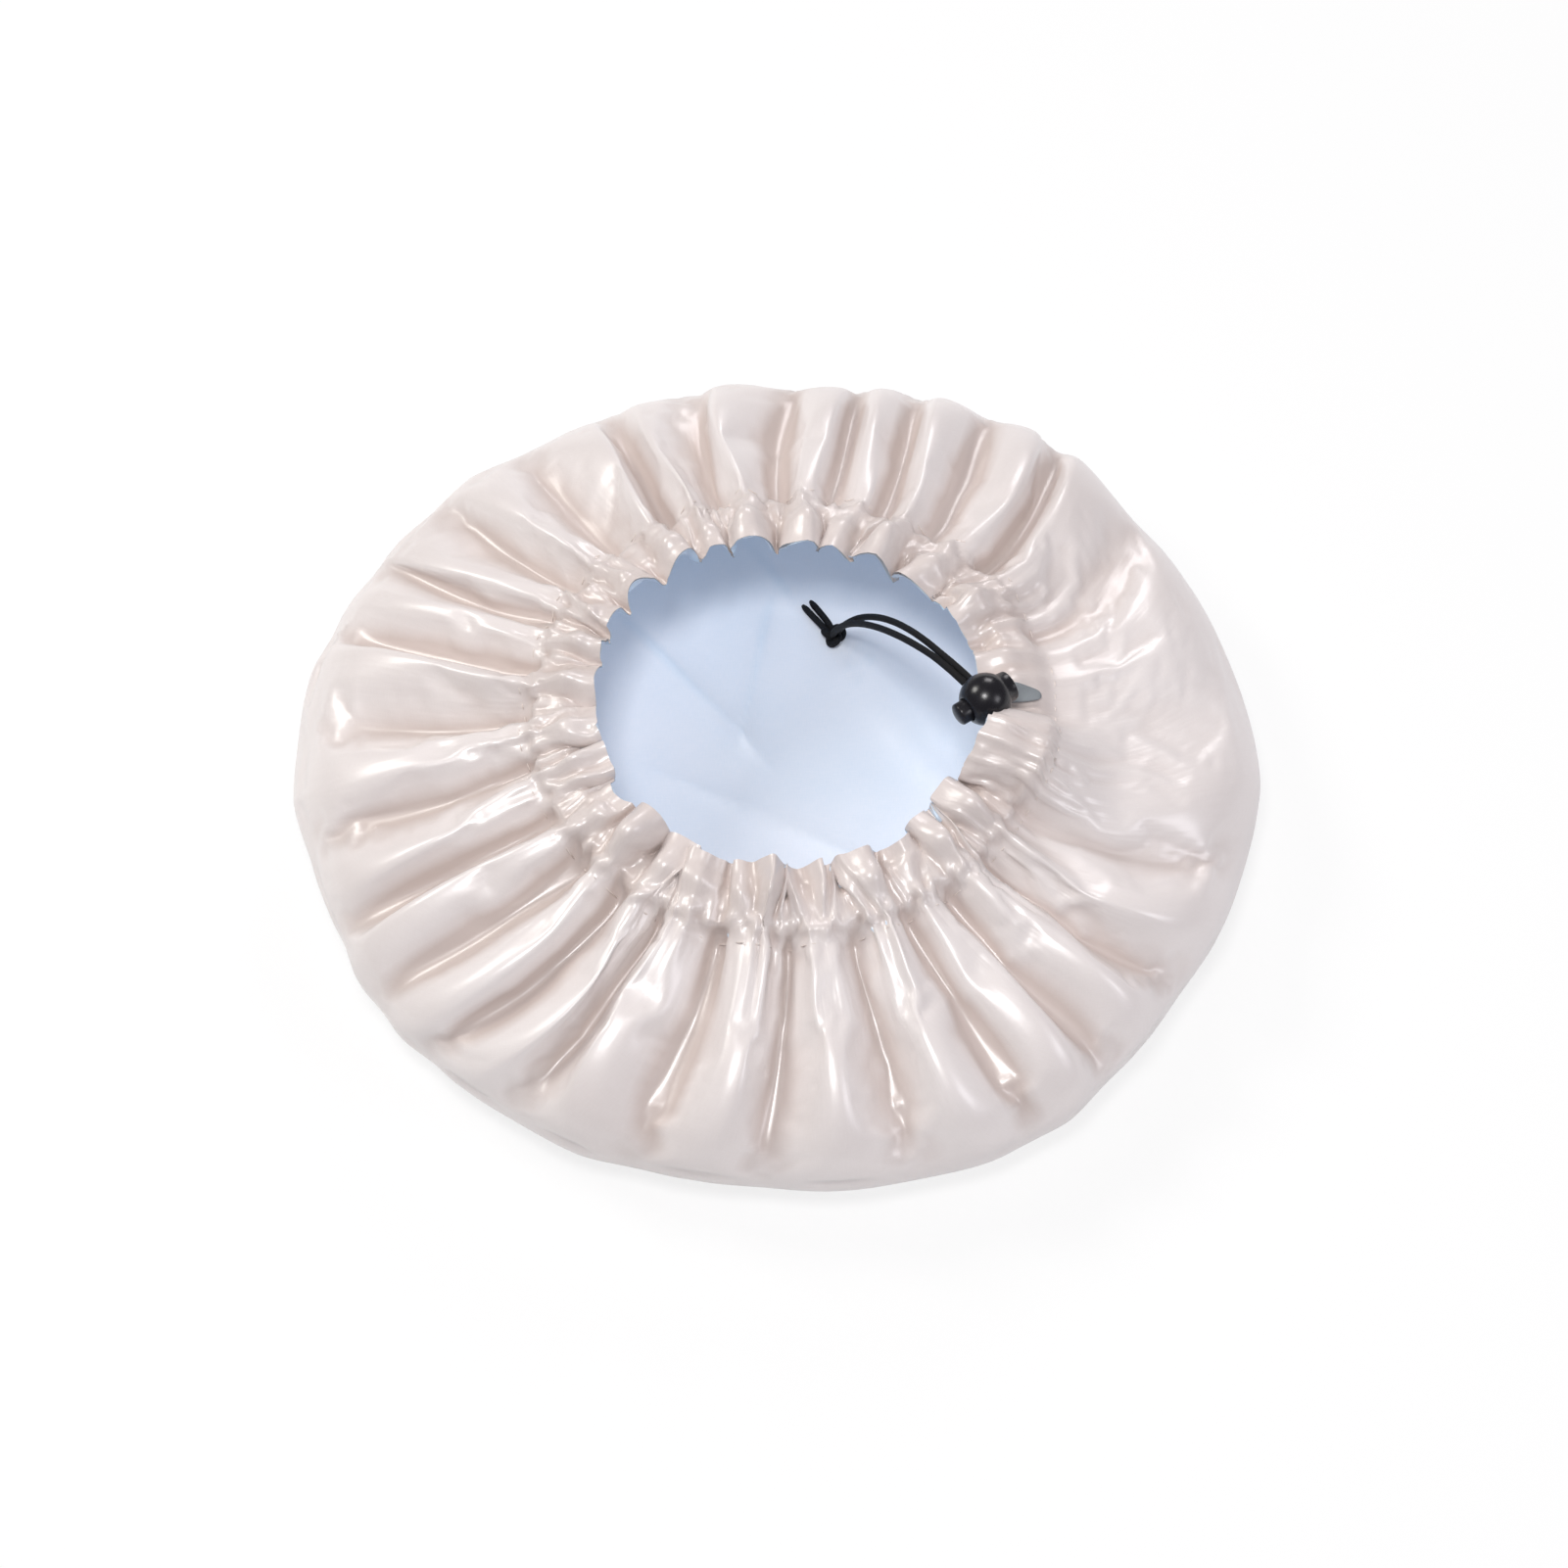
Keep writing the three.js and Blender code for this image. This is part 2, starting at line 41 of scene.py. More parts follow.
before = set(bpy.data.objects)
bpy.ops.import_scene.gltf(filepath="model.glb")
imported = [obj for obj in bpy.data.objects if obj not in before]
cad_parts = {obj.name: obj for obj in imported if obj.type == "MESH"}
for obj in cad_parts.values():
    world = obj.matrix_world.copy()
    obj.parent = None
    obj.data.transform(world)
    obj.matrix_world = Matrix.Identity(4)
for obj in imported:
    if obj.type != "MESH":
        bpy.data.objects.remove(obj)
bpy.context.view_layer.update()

# The gathers, anticlockwise from the right: angle at the gather line, angle at the outer fold, height of the
# ridge, reach of the outer fold as a share of the radius, and how far the ridge leans over to the left.
GATHERS = (
    (10, 27, 0.30, 0.95, 0.0), (36, 48, 1.00, 0.973, 0.5), (49, 57, 0.90, 0.975, -0.4),
    (62, 66, 1.00, 0.94, 0.6), (74, 75, 0.80, 0.92, 0.2), (84, 82, 0.90, 0.885, -0.3),
    (99, 93, 1.10, 0.90, 0.7), (111, 108, 0.80, 0.895, 0.3), (122, 119, 0.90, 0.88, -0.5),
    (138, 134, 1.00, 0.94, 0.2), (150, 148, 0.80, 0.95, 0.6), (160, 157, 0.70, 0.96, 0.1),
    (174, 168, 1.10, 0.99, -0.5), (187, 186, 0.90, 0.985, 0.3), (200, 200, 0.90, 0.94, 0.5),
    (213, 211, 1.00, 0.955, -0.4), (226, 220, 0.90, 0.95, 0.4), (238, 229, 1.00, 0.93, 0.7),
    (246, 246, 1.00, 0.93, -0.5), (264, 260, 1.00, 0.903, 0.3), (277, 277, 1.10, 0.93, 0.1),
    (293, 296, 1.10, 0.969, -0.5), (303, 306, 0.80, 0.977, 0.5), (314, 318, 1.00, 0.944, 0.4),
    (326, 336, 1.00, 0.955, -0.4), (342, 357, 0.50, 1.0, 0.2),
)

# The cloth's rows of points: from the crown's edge to the outer fold, on to the seam, and over the casing
FOLD_ROWS, SLOPE_ROWS, CASING_ROWS = 13, 31, 11

# The bonnet is moved by this to stand on the middle of its box, and its opening lies off that middle
PLACE_SHIFT = (-0.001269, 0.0021197, 0.0)
OPENING_SHIFT = (0.003, -0.003)

# Angles round the opening in degrees: where the folds are kept low for the lock, the middle of the gap in
# the drawcord and half of that gap
EXIT = 356.0
SLIT, SLIT_HALF = 12, 8

# The casing beside the slit stands wider and lower
DIP_ANGLE, DIP_WIDTH = 28.0, 36.0
DIP_OUT, DIP_DOWN = 0.006, 0.007

# The raised ruffle beside the ball, which hides the cords' turn
LOBE_ANGLE, LOBE_WIDTH, LOBE_PUSH = 346.8, 10.2, 0.0192

# Heights of the smaller folds: on the crown, where the folds meet the seam, and of the creases on it
CROWN_RIPPLE, SEAM_FOLD, SEAM_CREASE = 0.0005, 0.0050, 0.0014

# How far the channel stands out under and over the plain section, and how far under it the drawcord lies
CHANNEL_UNDER, CHANNEL_OVER, CORD_UNDER = 0.0022, 0.0028, 0.0003

# How far the ruffles swell sideways, as an angle, and how far they curl inward
RUFFLE_SWELL, RUFFLE_CURL = 0.0030 / 0.07, 0.0045

# Where the hem stands on edge and shows the lining: a long stretch at the back left and three short ones. It
# goes so far out and up, with the lining so much farther in
HEM_ANGLE, HEM_WIDTH = 136.0, 34.0
FLICK_ANGLES, FLICK_WIDTH, FLICK_SHARE = (214.0, 252.0, 302.0), 7.0, 0.8
HEM_OUT, HEM_UP, HEM_PARTED = 0.0080, 0.0060, 0.0011

# How far the casing's lining stays under its outer layer
LAYERS_APART = 0.0009

# The small creases that the stitches pull into the cloth: how many there are, and how high they stand
PUCKERS, PUCKER_HEIGHT = 82, 0.0018

# The lining hangs slack under the slope, where the outer cloth hides it, and keeps some room at the seam
SLACK_WAVES, SLACK_DEPTH = 62, 0.0070
LINING_ROOM, SEAM_ROOM = 0.0004, 0.0016

# Soft creases of the lining on the crown: two points that each runs through, and its height
CREASES = (
    ((0.001, 0.093), (0.054, 0.015), 0.0026), ((0.021, 0.075), (0.058, 0.029), 0.0030),
    ((-0.014, 0.027), (-0.005, 0.075), 0.0026), ((-0.051, 0.070), (-0.014, 0.027), 0.0026),
    ((-0.040, -0.030), (0.010, -0.060), 0.0018), ((-0.030, 0.005), (0.030, -0.025), 0.0016),
)
CREASE_WIDTH = 0.0055

# The lining stands off the crown by this, and tilts up from a point on it towards one side
CROWN_LIFT = 0.0008
TILT_FROM, TILT_WAY, TILT_RISE = (0.0390, 0.0393), (0.85, 0.53), 0.11

# Where the knot lies, how far round it the lining stays flat, from where its creases are whole, and how high
# the knot lies: the lining's face and some clearance
KNOT_SPOT, KNOT_FLAT, KNOT_FREE = (0.015, 0.073), 0.010, 0.024
KNOT_FLOOR = 0.0016 + 0.0003

# Each strand: name, side of the lock, its end at the ring, and the slit that it comes up through
STRANDS = (
    ("front", 1, (0.0812, -0.0210, 0.0590), (0.0832, -0.0150, 0.0600)),
    ("back", -1, (0.0843, -0.0042, 0.0572), (0.0836, -0.0092, 0.0590)),
)

# A strand rises so far over its slit, and turns so far behind and under the lock's rear
SLIT_RISE, TURN_BACK, TURN_DOWN = 0.005, 0.0066, 0.0094

# The knot's cord has this share of a diameter as its radius, since it is pulled tight
KNOT_LOOP = 0.56

# Within this reach of the crown's middle, points that are nearer than a step are joined
CROWDED_REACH, CROWDED_STEP = 0.07, 0.0007

# The tongue: its width and its tip's share of it, its place on the cloth in degrees and metres out from the
# middle, its lift and its thickness
TONGUE_WIDTH, TONGUE_TIP, TONGUE_ANGLE, TONGUE_RADIUS = 0.0092, 0.16, 21.0, 0.085
TONGUE_LIFT, TONGUE_THICK = 0.0012, 0.0006

# The lamps, with their names, places, sizes, powers and tints, the sky's light, and where the camera aims
LAMPS = (
    ("Key", (-1.0, 0.5, 1.1), 0.5, 9.8, (1.0, 0.98, 0.93)),
    ("Fill", (1.2, -0.5, 0.9), 0.5, 4.6, (0.95, 0.94, 1.0)),
    ("Back", (0.3, 1.3, 0.8), 0.5, 5.3, (1.0, 0.97, 0.99)),
    ("Top", (-0.1, -0.45, 1.5), 0.3, 13.5, (1.0, 0.99, 0.99)),
)
SKY_TINT, SKY_POWER = (0.92, 0.91, 1.0), 0.17
AIM = (0.0030, -0.0115, 0.030)

LengthProperty = partial(FloatProperty, unit="LENGTH")
AngleProperty = partial(FloatProperty, subtype="ANGLE")
ColourProperty = partial(FloatVectorProperty, subtype="COLOR")


def linear(red, green, blue):
    """A colour mixed on a screen in parts of 255, as the renderer counts it."""
    shares = (red / 255, green / 255, blue / 255)
    return tuple(c / 12.92 if c <= 0.04045 else ((c + 0.055) / 1.055) ** 2.4 for c in shares)


def smooth(low, high, value):
    share = np.clip((value - low) / (high - low), 0.0, 1.0)
    return share * share * (3.0 - 2.0 * share)


def mix(a, b, share):
    return a + (b - a) * share


class PouchSizes(bpy.types.PropertyGroup):
    radius: LengthProperty(name="Radius", description="Middle to the outer fold", default=0.175)
    crown: LengthProperty(name="Crown", description="Radius that lies flat", default=0.138)
    fold_height: LengthProperty(name="Fold height", description="Height of the widest line", default=0.024)
    shoulder: LengthProperty(name="Shoulder", description="Roundness over the widest line", default=0.021)
    gather_radius: LengthProperty(name="Gather radius", description="Radius of the seam", default=0.092)
    gather_height: LengthProperty(name="Gather height", description="Height of the seam", default=0.064)
    hem_radius: LengthProperty(name="Hem radius", description="Radius of the opening", default=0.066)
    hem_height: LengthProperty(name="Hem height", description="Height of the hem", default=0.071)
    fold_depth: LengthProperty(
        name="Fold depth", description="Half height of the folds on the slope", default=0.0075,
    )
    frill: LengthProperty(name="Frill", description="Half height of the ruffles at the hem", default=0.0068)
    creases: IntProperty(name="Creases", description="Small creases round the hem", default=47, min=20)
    layer_gap: LengthProperty(name="Layer gap", description="Outer face to lining face", default=0.0009)
    columns: IntProperty(name="Columns", description="Mesh columns round the cloth", default=600, min=60)
    fullness: FloatProperty(
        name="Fullness", description="Cloth to spare at the gather line, as a share", default=0.07,
    )
    pressure: FloatProperty(name="Pressure", description="Air held in the pouch", default=0.4)
    frames: IntProperty(name="Frames", description="Steps for which the cloth settles", default=26, min=1)


class CordSizes(bpy.types.PropertyGroup):
    diameter: LengthProperty(name="Diameter", description="Elastic cord", default=0.0025)
    sides: IntProperty(name="Sides", description="Mesh sides of the cord", default=14, min=6)
    arc_radius: LengthProperty(name="Arc radius", description="Bend of the tail", default=0.118)
    heading: AngleProperty(name="Heading", description="Way that the tail falls", default=math.radians(124))
    dip: AngleProperty(name="Dip", description="Slope at the lock", default=math.radians(10))
    sweep: AngleProperty(name="Sweep", description="Arc from lock to knot", default=math.radians(61))
    spacing: LengthProperty(name="Spacing", description="Strands inside the lock", default=0.0027)
    spread: LengthProperty(name="Spread", description="Strands at their widest", default=0.0054)
    end: LengthProperty(name="End", description="Cord beyond the knot", default=0.013)
    knot: LengthProperty(name="Knot", description="Size of the knot's loops", default=0.00125)
    thread: LengthProperty(name="Thread", description="Sewing thread", default=0.0004)
    stitches: IntProperty(
        name="Stitches", description="Stitches round the gather line", default=230, min=50,
    )


class LockSizes(bpy.types.PropertyGroup):
    place: FloatVectorProperty(
        name="Place", description="Middle of the ball", subtype="TRANSLATION",
        default=(0.0725, -0.008, 0.0825),
    )
    ball: LengthProperty(name="Ball radius", description="Cord lock", default=0.0092)
    mouth: LengthProperty(name="Mouth", description="Middle to the flat round the button", default=0.0076)
    base: LengthProperty(name="Base", description="Middle to the foot", default=0.0105)
    base_radius: LengthProperty(name="Base radius", description="Foot", default=0.0054)
    base_wall: LengthProperty(name="Base wall", description="Floor of the cavity", default=0.0012)
    button: LengthProperty(name="Button radius", description="Plunger", default=0.004)
    stands_out: LengthProperty(name="Stands out", description="Plunger above the flat", default=0.0048)
    dome: LengthProperty(name="Dome", description="Roundness of the plunger's top", default=0.0014)
    travel: LengthProperty(name="Travel", description="Press of the plunger", default=0.0025)
    rear_wall: LengthProperty(name="Rear wall", description="Plunger behind its window", default=0.0014)
    gap: LengthProperty(name="Gap", description="Running clearance", default=0.0003)


class Colours(bpy.types.PropertyGroup):
    satin: ColourProperty(name="Outer satin", description="Pearl champagne", default=linear(234, 229, 228))
    # The outer satin's darker colour: its random mottle, and painted shade in its creases and ruffles
    satin_mottle_and_painted_shade: ColourProperty(name="Outer shade", description="Creases", default=linear(196, 182, 176))
    lining: ColourProperty(name="Lining", description="Light blue satin", default=linear(239, 237, 242))
    # The lining's darker colour: its random mottle, and painted shade in its creases and under the rim
    lining_mottle_and_painted_shade: ColourProperty(name="Lining shade", description="Creases", default=linear(154, 189, 214))
    elastic: ColourProperty(name="Elastic", description="Cord", default=linear(13, 13, 16))
    plastic: ColourProperty(name="Plastic", description="Cord lock", default=linear(27, 26, 30))
    # The tongue's grey is painted shade: the facing coloured as it looks deep in the slit's shade
    facing: ColourProperty(name="Facing", description="Tongue at the slit", default=linear(134, 140, 144))


class Studio(bpy.types.PropertyGroup):
    distance: LengthProperty(name="Distance", description="Camera to the bonnet", default=1.3)
    elevation: AngleProperty(name="Elevation", description="Above the horizon", default=math.radians(60))
    lens: FloatProperty(name="Lens", description="Focal length in millimetres", default=83.6)


# Shader maths


class Amount:
    """One value of a shader, which adds a Math node where it meets an operator."""

    def __init__(self, paint, socket):
        self.paint, self.socket = paint, socket

    def _with(self, operation, *values):
        return self.paint.amount("ShaderNodeMath", *values, settings={"operation": operation})

    def __add__(self, other):
        return self._with("ADD", self, other)

    def __radd__(self, other):
        return self._with("ADD", other, self)

    def __sub__(self, other):
        return self._with("SUBTRACT", self, other)

    def __mul__(self, other):
        return self._with("MULTIPLY", self, other)

    def sine(self):
        return self._with("SINE", self)

    def clamped(self):
        return self._with("MINIMUM", self._with("MAXIMUM", self, 0.0), 1.0)


class Paint:
    """A material that is being mixed for one piece."""

    def __init__(self, name, **shader):
        self.material = bpy.data.materials.new(name)
        self.material.use_nodes = True
        self.tree = self.material.node_tree
        self.shader = self.tree.nodes["Principled BSDF"]
        self.set(**shader)

    def feed(self, socket, value):
        """Give a socket a plain value, or a link to what another node works out."""
        value = value.socket if isinstance(value, Amount) else value
        if isinstance(value, bpy.types.NodeSocket):
            self.tree.links.new(value, socket)
        else:
            socket.default_value = value

    def node(self, kind, *values, settings=None, output=0, **named):
        made = self.tree.nodes.new(kind)
        for key, value in (settings or {}).items():
            setattr(made, key, value)
        for key, value in [*enumerate(values), *named.items()]:
            self.feed(made.inputs[key], value)
        return made.outputs[output]

    def set(self, **values):
        for key, value in values.items():
            self.feed(self.shader.inputs[key.replace("_", " ")], value)

    def amount(self, kind, *values, **named):
        return Amount(self, self.node(kind, *values, **named))

    def mark(self, name, output):
        """What the mesh says at each point under this name."""
        return self.node("ShaderNodeAttribute", settings={"attribute_name": name}, output=output)

    def place(self, kind="Object", scale=(1, 1, 1)):
        source = self.node("ShaderNodeTexCoord", output=kind)
        return self.node("ShaderNodeMapping", source, Scale=scale)

    def noise(self, place, scale, detail=2.0, roughness=0.5):
        return self.amount(
            "ShaderNodeTexNoise", place, Scale=scale, Detail=detail, Roughness=roughness, output="Fac"
        )

    def blend(self, amount, low, high):
        """The base colour, between two by the amount."""
        made = self.tree.nodes.new("ShaderNodeMix")
        made.data_type = "RGBA"
        for socket, value in ((0, amount), (6, (*low, 1.0)), (7, (*high, 1.0))):
            self.feed(made.inputs[socket], value)
        self.set(Base_Color=made.outputs[2])

    def bump(self, height, strength):
        self.set(Normal=self.node("ShaderNodeBump", Height=height, Distance=1.0, Strength=strength))
        return self.material


def scaled(colour, share):
    return tuple(c * share for c in colour)


def satin(name, colour, shade, painted_glow, rough, low, painted_shade_beyond):
    """Satin: long floats across a fine weave, soft broad creases, and pulled cloth at the seam.

    Painted shade darkens it in the creases, and by the last argument beyond the stage low.
    """
    # The emission is painted light: it lifts the satin's colour where the lamps leave it dim
    paint = Paint(
        name, Roughness=rough, Specular_IOR_Level=0.8, Sheen_Weight=0.05, Sheen_Roughness=0.4,
        Coat_Weight=0.35, Coat_Roughness=0.22, Emission_Color=(*colour, 1.0), Emission_Strength=painted_glow,
    )
    broad = paint.noise(paint.place(), 14.0, 3.0)
    floats = paint.noise(paint.place("UV", (2400, 160, 1)), 1.0, 2.0)
    cross = paint.noise(paint.place("UV", (120, 1500, 1)), 1.0, 1.0)
    thread = floats * 0.65 + cross * 0.35
    wrinkles = paint.noise(paint.place("UV"), 38.0, 4.0, 0.55)
    crease = Amount(paint, paint.mark("crease", "Fac"))
    run = paint.mark("run", "Vector")
    pulled = paint.noise(paint.node("ShaderNodeMapping", run, Scale=(15, 15, 1.5)), 1.0, 3.0, 0.6)
    stage = paint.amount("ShaderNodeSeparateXYZ", run, output=2)
    taut = (stage - 0.85).clamped()
    # Painted shade: darker in the mesh's creases, and beyond the stage low
    painted_shade = crease * 1.35 + ((stage - low) * 4.0).clamped() * painted_shade_beyond
    tone = (broad * 0.5 + thread * 0.3 + 0.25 - painted_shade).clamped()
    paint.blend(tone, shade, colour)
    paint.set(Roughness=rough + (thread - 0.5) * 0.12)
    return paint.bump(wrinkles * 0.0005 + pulled * taut * 0.0022 + thread * 0.00004, 0.35)


def braid(name, colour):
    """Braided elastic: yarns that cross each other round the cord, eight each way, with painted sheen on
    their crests and painted shade between them.
    """
    paint = Paint(name, Roughness=0.75, Specular_IOR_Level=0.3)
    run = paint.node("ShaderNodeSeparateXYZ", paint.node("ShaderNodeTexCoord", output="UV"))
    once_round, per_metre = 50.265, 4200.0
    around = Amount(paint, run) * once_round
    along = Amount(paint, run.node.outputs[1]) * per_metre
    yarn = ((around + along).sine() * (around - along).sine()) * 0.5 + 0.5
    # Painted sheen on the yarns' crests and painted shade in the grooves between them
    paint.blend(yarn, scaled(colour, 0.5), scaled(colour, 1.6))
    return paint.bump(yarn * 0.00012, 0.8)


def moulded(name, colour, rough=0.27):
    """Moulded plastic with a fine spark-eroded grain."""
    paint = Paint(name, Roughness=rough, Specular_IOR_Level=0.42)
    grain = paint.noise(paint.place(), 2600.0)
    cloud = paint.noise(paint.place(), 180.0, 3.0)
    paint.blend(cloud, scaled(colour, 0.8), scaled(colour, 1.25))
    paint.set(Roughness=rough + (cloud - 0.5) * 0.2)
    return paint.bump(grain * 0.00002, 0.6)


def cotton(name, colour, shade):
    """Plain woven tape or thread."""
    paint = Paint(name, Roughness=0.75, Sheen_Weight=0.1)
    weave = paint.noise(paint.place(), 1800.0)
    paint.blend(weave, shade, colour)
    return paint.bump(weave * 0.00008, 0.6)


def spring_wire(name):
    """Drawn steel wire."""
    paint = Paint(name, Roughness=0.3, Metallic=1.0)
    drawn = paint.noise(paint.place(), 3000.0)
    paint.blend(drawn, linear(150, 152, 156), linear(196, 198, 202))
    return paint.material


# The cloth's shape


class Meridian:
    """The bonnet's section, from the middle of the crown to the hem, measured along the cloth."""

    def __init__(self, pouch):
        run = Vector((pouch.hem_radius - pouch.gather_radius, pouch.hem_height - pouch.gather_height))
        handle = run.normalized() * (0.010 + pouch.shoulder)
        points = [(0.0, 0.0, 0.0, -1.0, 0.0), (pouch.crown, 0.0, 0.0, -1.0, 0.0)]
        width = pouch.radius - pouch.crown
        for share in np.linspace(0.05, 1, 20):
            angle = (share - 1) * math.pi / 2
            normal = Vector((math.cos(angle) * pouch.fold_height, math.sin(angle) * width)).normalized()
            height = pouch.fold_height * (1 + math.sin(angle))
            points.append((pouch.crown + width * math.cos(angle), height, *normal, share))
        fold = Vector((pouch.radius, pouch.fold_height))
        shoulder = Vector((pouch.radius, pouch.fold_height + pouch.shoulder))
        gather = Vector((pouch.gather_radius, pouch.gather_height))
        throat = gather - handle
        for t in np.linspace(0.02, 1, 50):
            u = 1 - t
            place = fold * u**3 + shoulder * 3 * u * u * t + throat * 3 * u * t * t + gather * t**3
            way = (shoulder - fold) * u * u + (throat - shoulder) * 2 * u * t + (gather - throat) * t * t
            normal = Vector((way.y, -way.x)).normalized()
            points.append((*place, *normal, 1 + t))
        normal = Vector((run.y, -run.x)).normalized()
        for t in np.linspace(0.1, 1, 10):
            points.append((*(gather + run * t), *normal, 2 + t))
        table = np.array(points)
        self.along = np.concatenate(([0], np.cumsum(np.hypot(*np.diff(table[:, :2], axis=0).T))))
        self.table = table
        self.edge, self.fold, self.gather, self.hem = (
            self.at_stage(0.0), self.at_stage(1.0), self.at_stage(2.0), self.at_stage(3.0),
        )

    def at_stage(self, stage):
        """How far along the cloth a stage is: 0 crown's edge, 1 outer fold, 2 seam, 3 hem."""
        if stage == 0.0:
            return self.along[1]
        return float(np.interp(stage, self.table[1:, 4], self.along[1:]))

    def at(self, along):
        """Radius, height, the normal's two parts and the stage."""
        return [np.interp(along, self.along, self.table[:, i]) for i in range(5)]

    def stages(self, along):
        """The stage alone, which runs from -1 to 0 over the crown here."""
        return np.where(along < self.edge, along / self.edge - 1, self.at(along)[4])


def gather_tables():
    """Turn, which counts gathers, against the cloth's own angle, and the gathers' values against turn."""
    rows = np.array(GATHERS, float)
    count = len(rows)
    lap = np.array([360.0, 360.0, 0, 0, 0])
    wrapped = np.vstack((rows[-2:] - lap, rows, rows[:2] + lap))
    return np.arange(-2, count + 2, dtype=float), wrapped


def gathered(cloth_angle):
    """How many gathers lie before a place on the cut cloth, and its angle at the gather line."""
    turns, table = gather_tables()
    turn = np.interp(cloth_angle, table[:, 1], turns)
    return turn, np.interp(turn, turns, table[:, 0])


def bell(angle, middle, width, power=2):
    """One at the middle, and none beyond a few widths of it, round the circle."""
    away = (angle - middle + 540.0) % 360.0 - 180.0
    return np.exp(-((away / width) ** power))


def drape(meridian, pouch, along, cloth_angle, lining=False):
    """Where a point of the cut cloth, so far along and at this angle, lies once it is gathered."""
    radius, height, nr, nz, stage = meridian.at(along)
    turns, table = gather_tables()
    turn = np.interp(cloth_angle, table[:, 1], turns)
    top, _, rise, _, lean = (np.interp(turn, turns, table[:, i]) for i in range(5))
    around = ((-0.5, 0.2), (0, 0.6), (0.5, 0.2))
    reach = sum(share * np.interp(turn + away, turns, table[:, 3]) for away, share in around)
    slope = np.clip(stage - 1, 0, 1)
    climb = slope * slope * (3 - 2 * slope)
    casing = np.clip(stage - 2, 0, 1)
    calm = 1 - 0.92 * bell(top, EXIT, 13.0) * smooth(0.6, 1.0, slope)

    # main folds: broad ridges with narrow valleys between, which die out before the outer fold
    part = np.cos(np.pi * turn)
    sharp = mix(0.5, 0.16, slope)
    fold = 2 * np.sqrt((part * part + sharp * sharp) / (1 + sharp * sharp)) - 1
    fold = mix(np.cos(2 * np.pi * turn), fold * 1.25 - 0.35, smooth(0.0, 0.35, slope))
    fade = 1.05 + 0.7 * bell(cloth_angle, 130.0, 80.0)
    depth = np.clip(stage, 0, 1) ** 2 * CROWN_RIPPLE * (1 - slope)
    depth = depth + pouch.fold_depth * np.sin(np.pi * slope**fade) ** 1.3
    depth = depth + SEAM_FOLD * smooth(0.7, 1.0, slope)
    push = depth * rise * fold * calm * (1 - smooth(0.0, 0.45, casing))

    # the casing: one soft ruffle to each gather, creased on a slant
    crease, swing = creases(cloth_angle, pouch)
    wave = np.cos(2 * np.pi * crease + 2.2 * casing * np.sign(lean))
    puff = 2 * np.sqrt((part * part + 0.02) / 1.02) - 1
    lobe = bell(top, LOBE_ANGLE, LOBE_WIDTH, 4)
    uneven = 0.8 + 0.34 * np.sin(2.4 * turn + 0.7) + 0.2 * np.sin(5.3 * turn)
    frill = puff * (0.6 + 0.4 * rise) * uneven + 0.5 * wave * swing
    push = push + smooth(0.6, 1.0, slope) * SEAM_CREASE * (1 - casing) ** 2 * swing * wave * calm
    push = push + pouch.frill * smooth(0.1, 0.75, casing) * frill * calm * (1 - 0.6 * lobe)
    push = push + LOBE_PUSH * lobe * smooth(0.70, 1.25, slope + casing)
    cord = smooth(0.0, 0.3, casing) * (1 - smooth(0.6, 0.85, casing)) * (1 - lobe)
    if lining:
        push = mix(push, np.minimum(push, -CHANNEL_UNDER), cord) - pouch.layer_gap
    else:
        push = mix(push, np.maximum(push, 0.0) + CHANNEL_OVER, cord)

    angle = mix(cloth_angle, top, climb)
    gather_width = 360.0 / len(GATHERS)
    angle = angle + lean * 0.34 * gather_width * (fold * 0.5 + 0.5) * np.sin(np.pi * slope) ** 1.5
    angle = angle + lean * 5.5 * smooth(0.1, 1.0, casing) * (puff * 0.5 + 0.5) * calm
    angle = angle + np.degrees(RUFFLE_SWELL) * smooth(0.3, 1.0, casing) * np.sin(2 * np.pi * turn) * calm

    near = climb**3 * bell(angle, DIP_ANGLE, DIP_WIDTH)
    plain = radius * mix(mix(reach, 1.0, 0.25), 1.0, climb) + near * DIP_OUT
    curl = RUFFLE_CURL * smooth(0.4, 1.0, casing) * (puff * 0.6 * uneven + 0.2 * wave * swing) * calm
    out = plain + nr * push - curl
    up = height - near * DIP_DOWN + nz * push - 0.6 * np.maximum(curl, 0) * smooth(0.75, 1.0, casing)
    turned = np.radians(angle)
    x = out * np.cos(turned) + OPENING_SHIFT[0] * climb + PLACE_SHIFT[0]
    y = out * np.sin(turned) + OPENING_SHIFT[1] * climb + PLACE_SHIFT[1]
    return np.stack((x, y, up), axis=-1)


def creases(cloth_angle, pouch):
    """The small creases' own count against the cloth's angle, and how strong they are there."""
    t = np.radians(cloth_angle)
    wander = 0.42 * np.sin(5 * t + 1.3) + 0.3 * np.sin(11 * t)
    swing = 0.75 + 0.35 * np.sin(7 * t + 0.6) + 0.2 * np.sin(17 * t)
    return pouch.creases * t / (2 * np.pi) + wander, swing


def channel_line(meridian, cloth_angle):
    """The middle of the channel, where the drawcord runs."""
    along = mix(meridian.gather, meridian.hem, 0.45)
    radius, height, nr, nz, _ = meridian.at(np.full(len(cloth_angle), along))
    _, top = gathered(cloth_angle)
    near = bell(top, DIP_ANGLE, DIP_WIDTH)
    out = radius + near * DIP_OUT - nr * CORD_UNDER
    turned = np.radians(top)
    return np.column_stack((
        out * np.cos(turned) + OPENING_SHIFT[0] + PLACE_SHIFT[0],
        out * np.sin(turned) + OPENING_SHIFT[1] + PLACE_SHIFT[1],
        height - near * DIP_DOWN - nz * CORD_UNDER,
    ))


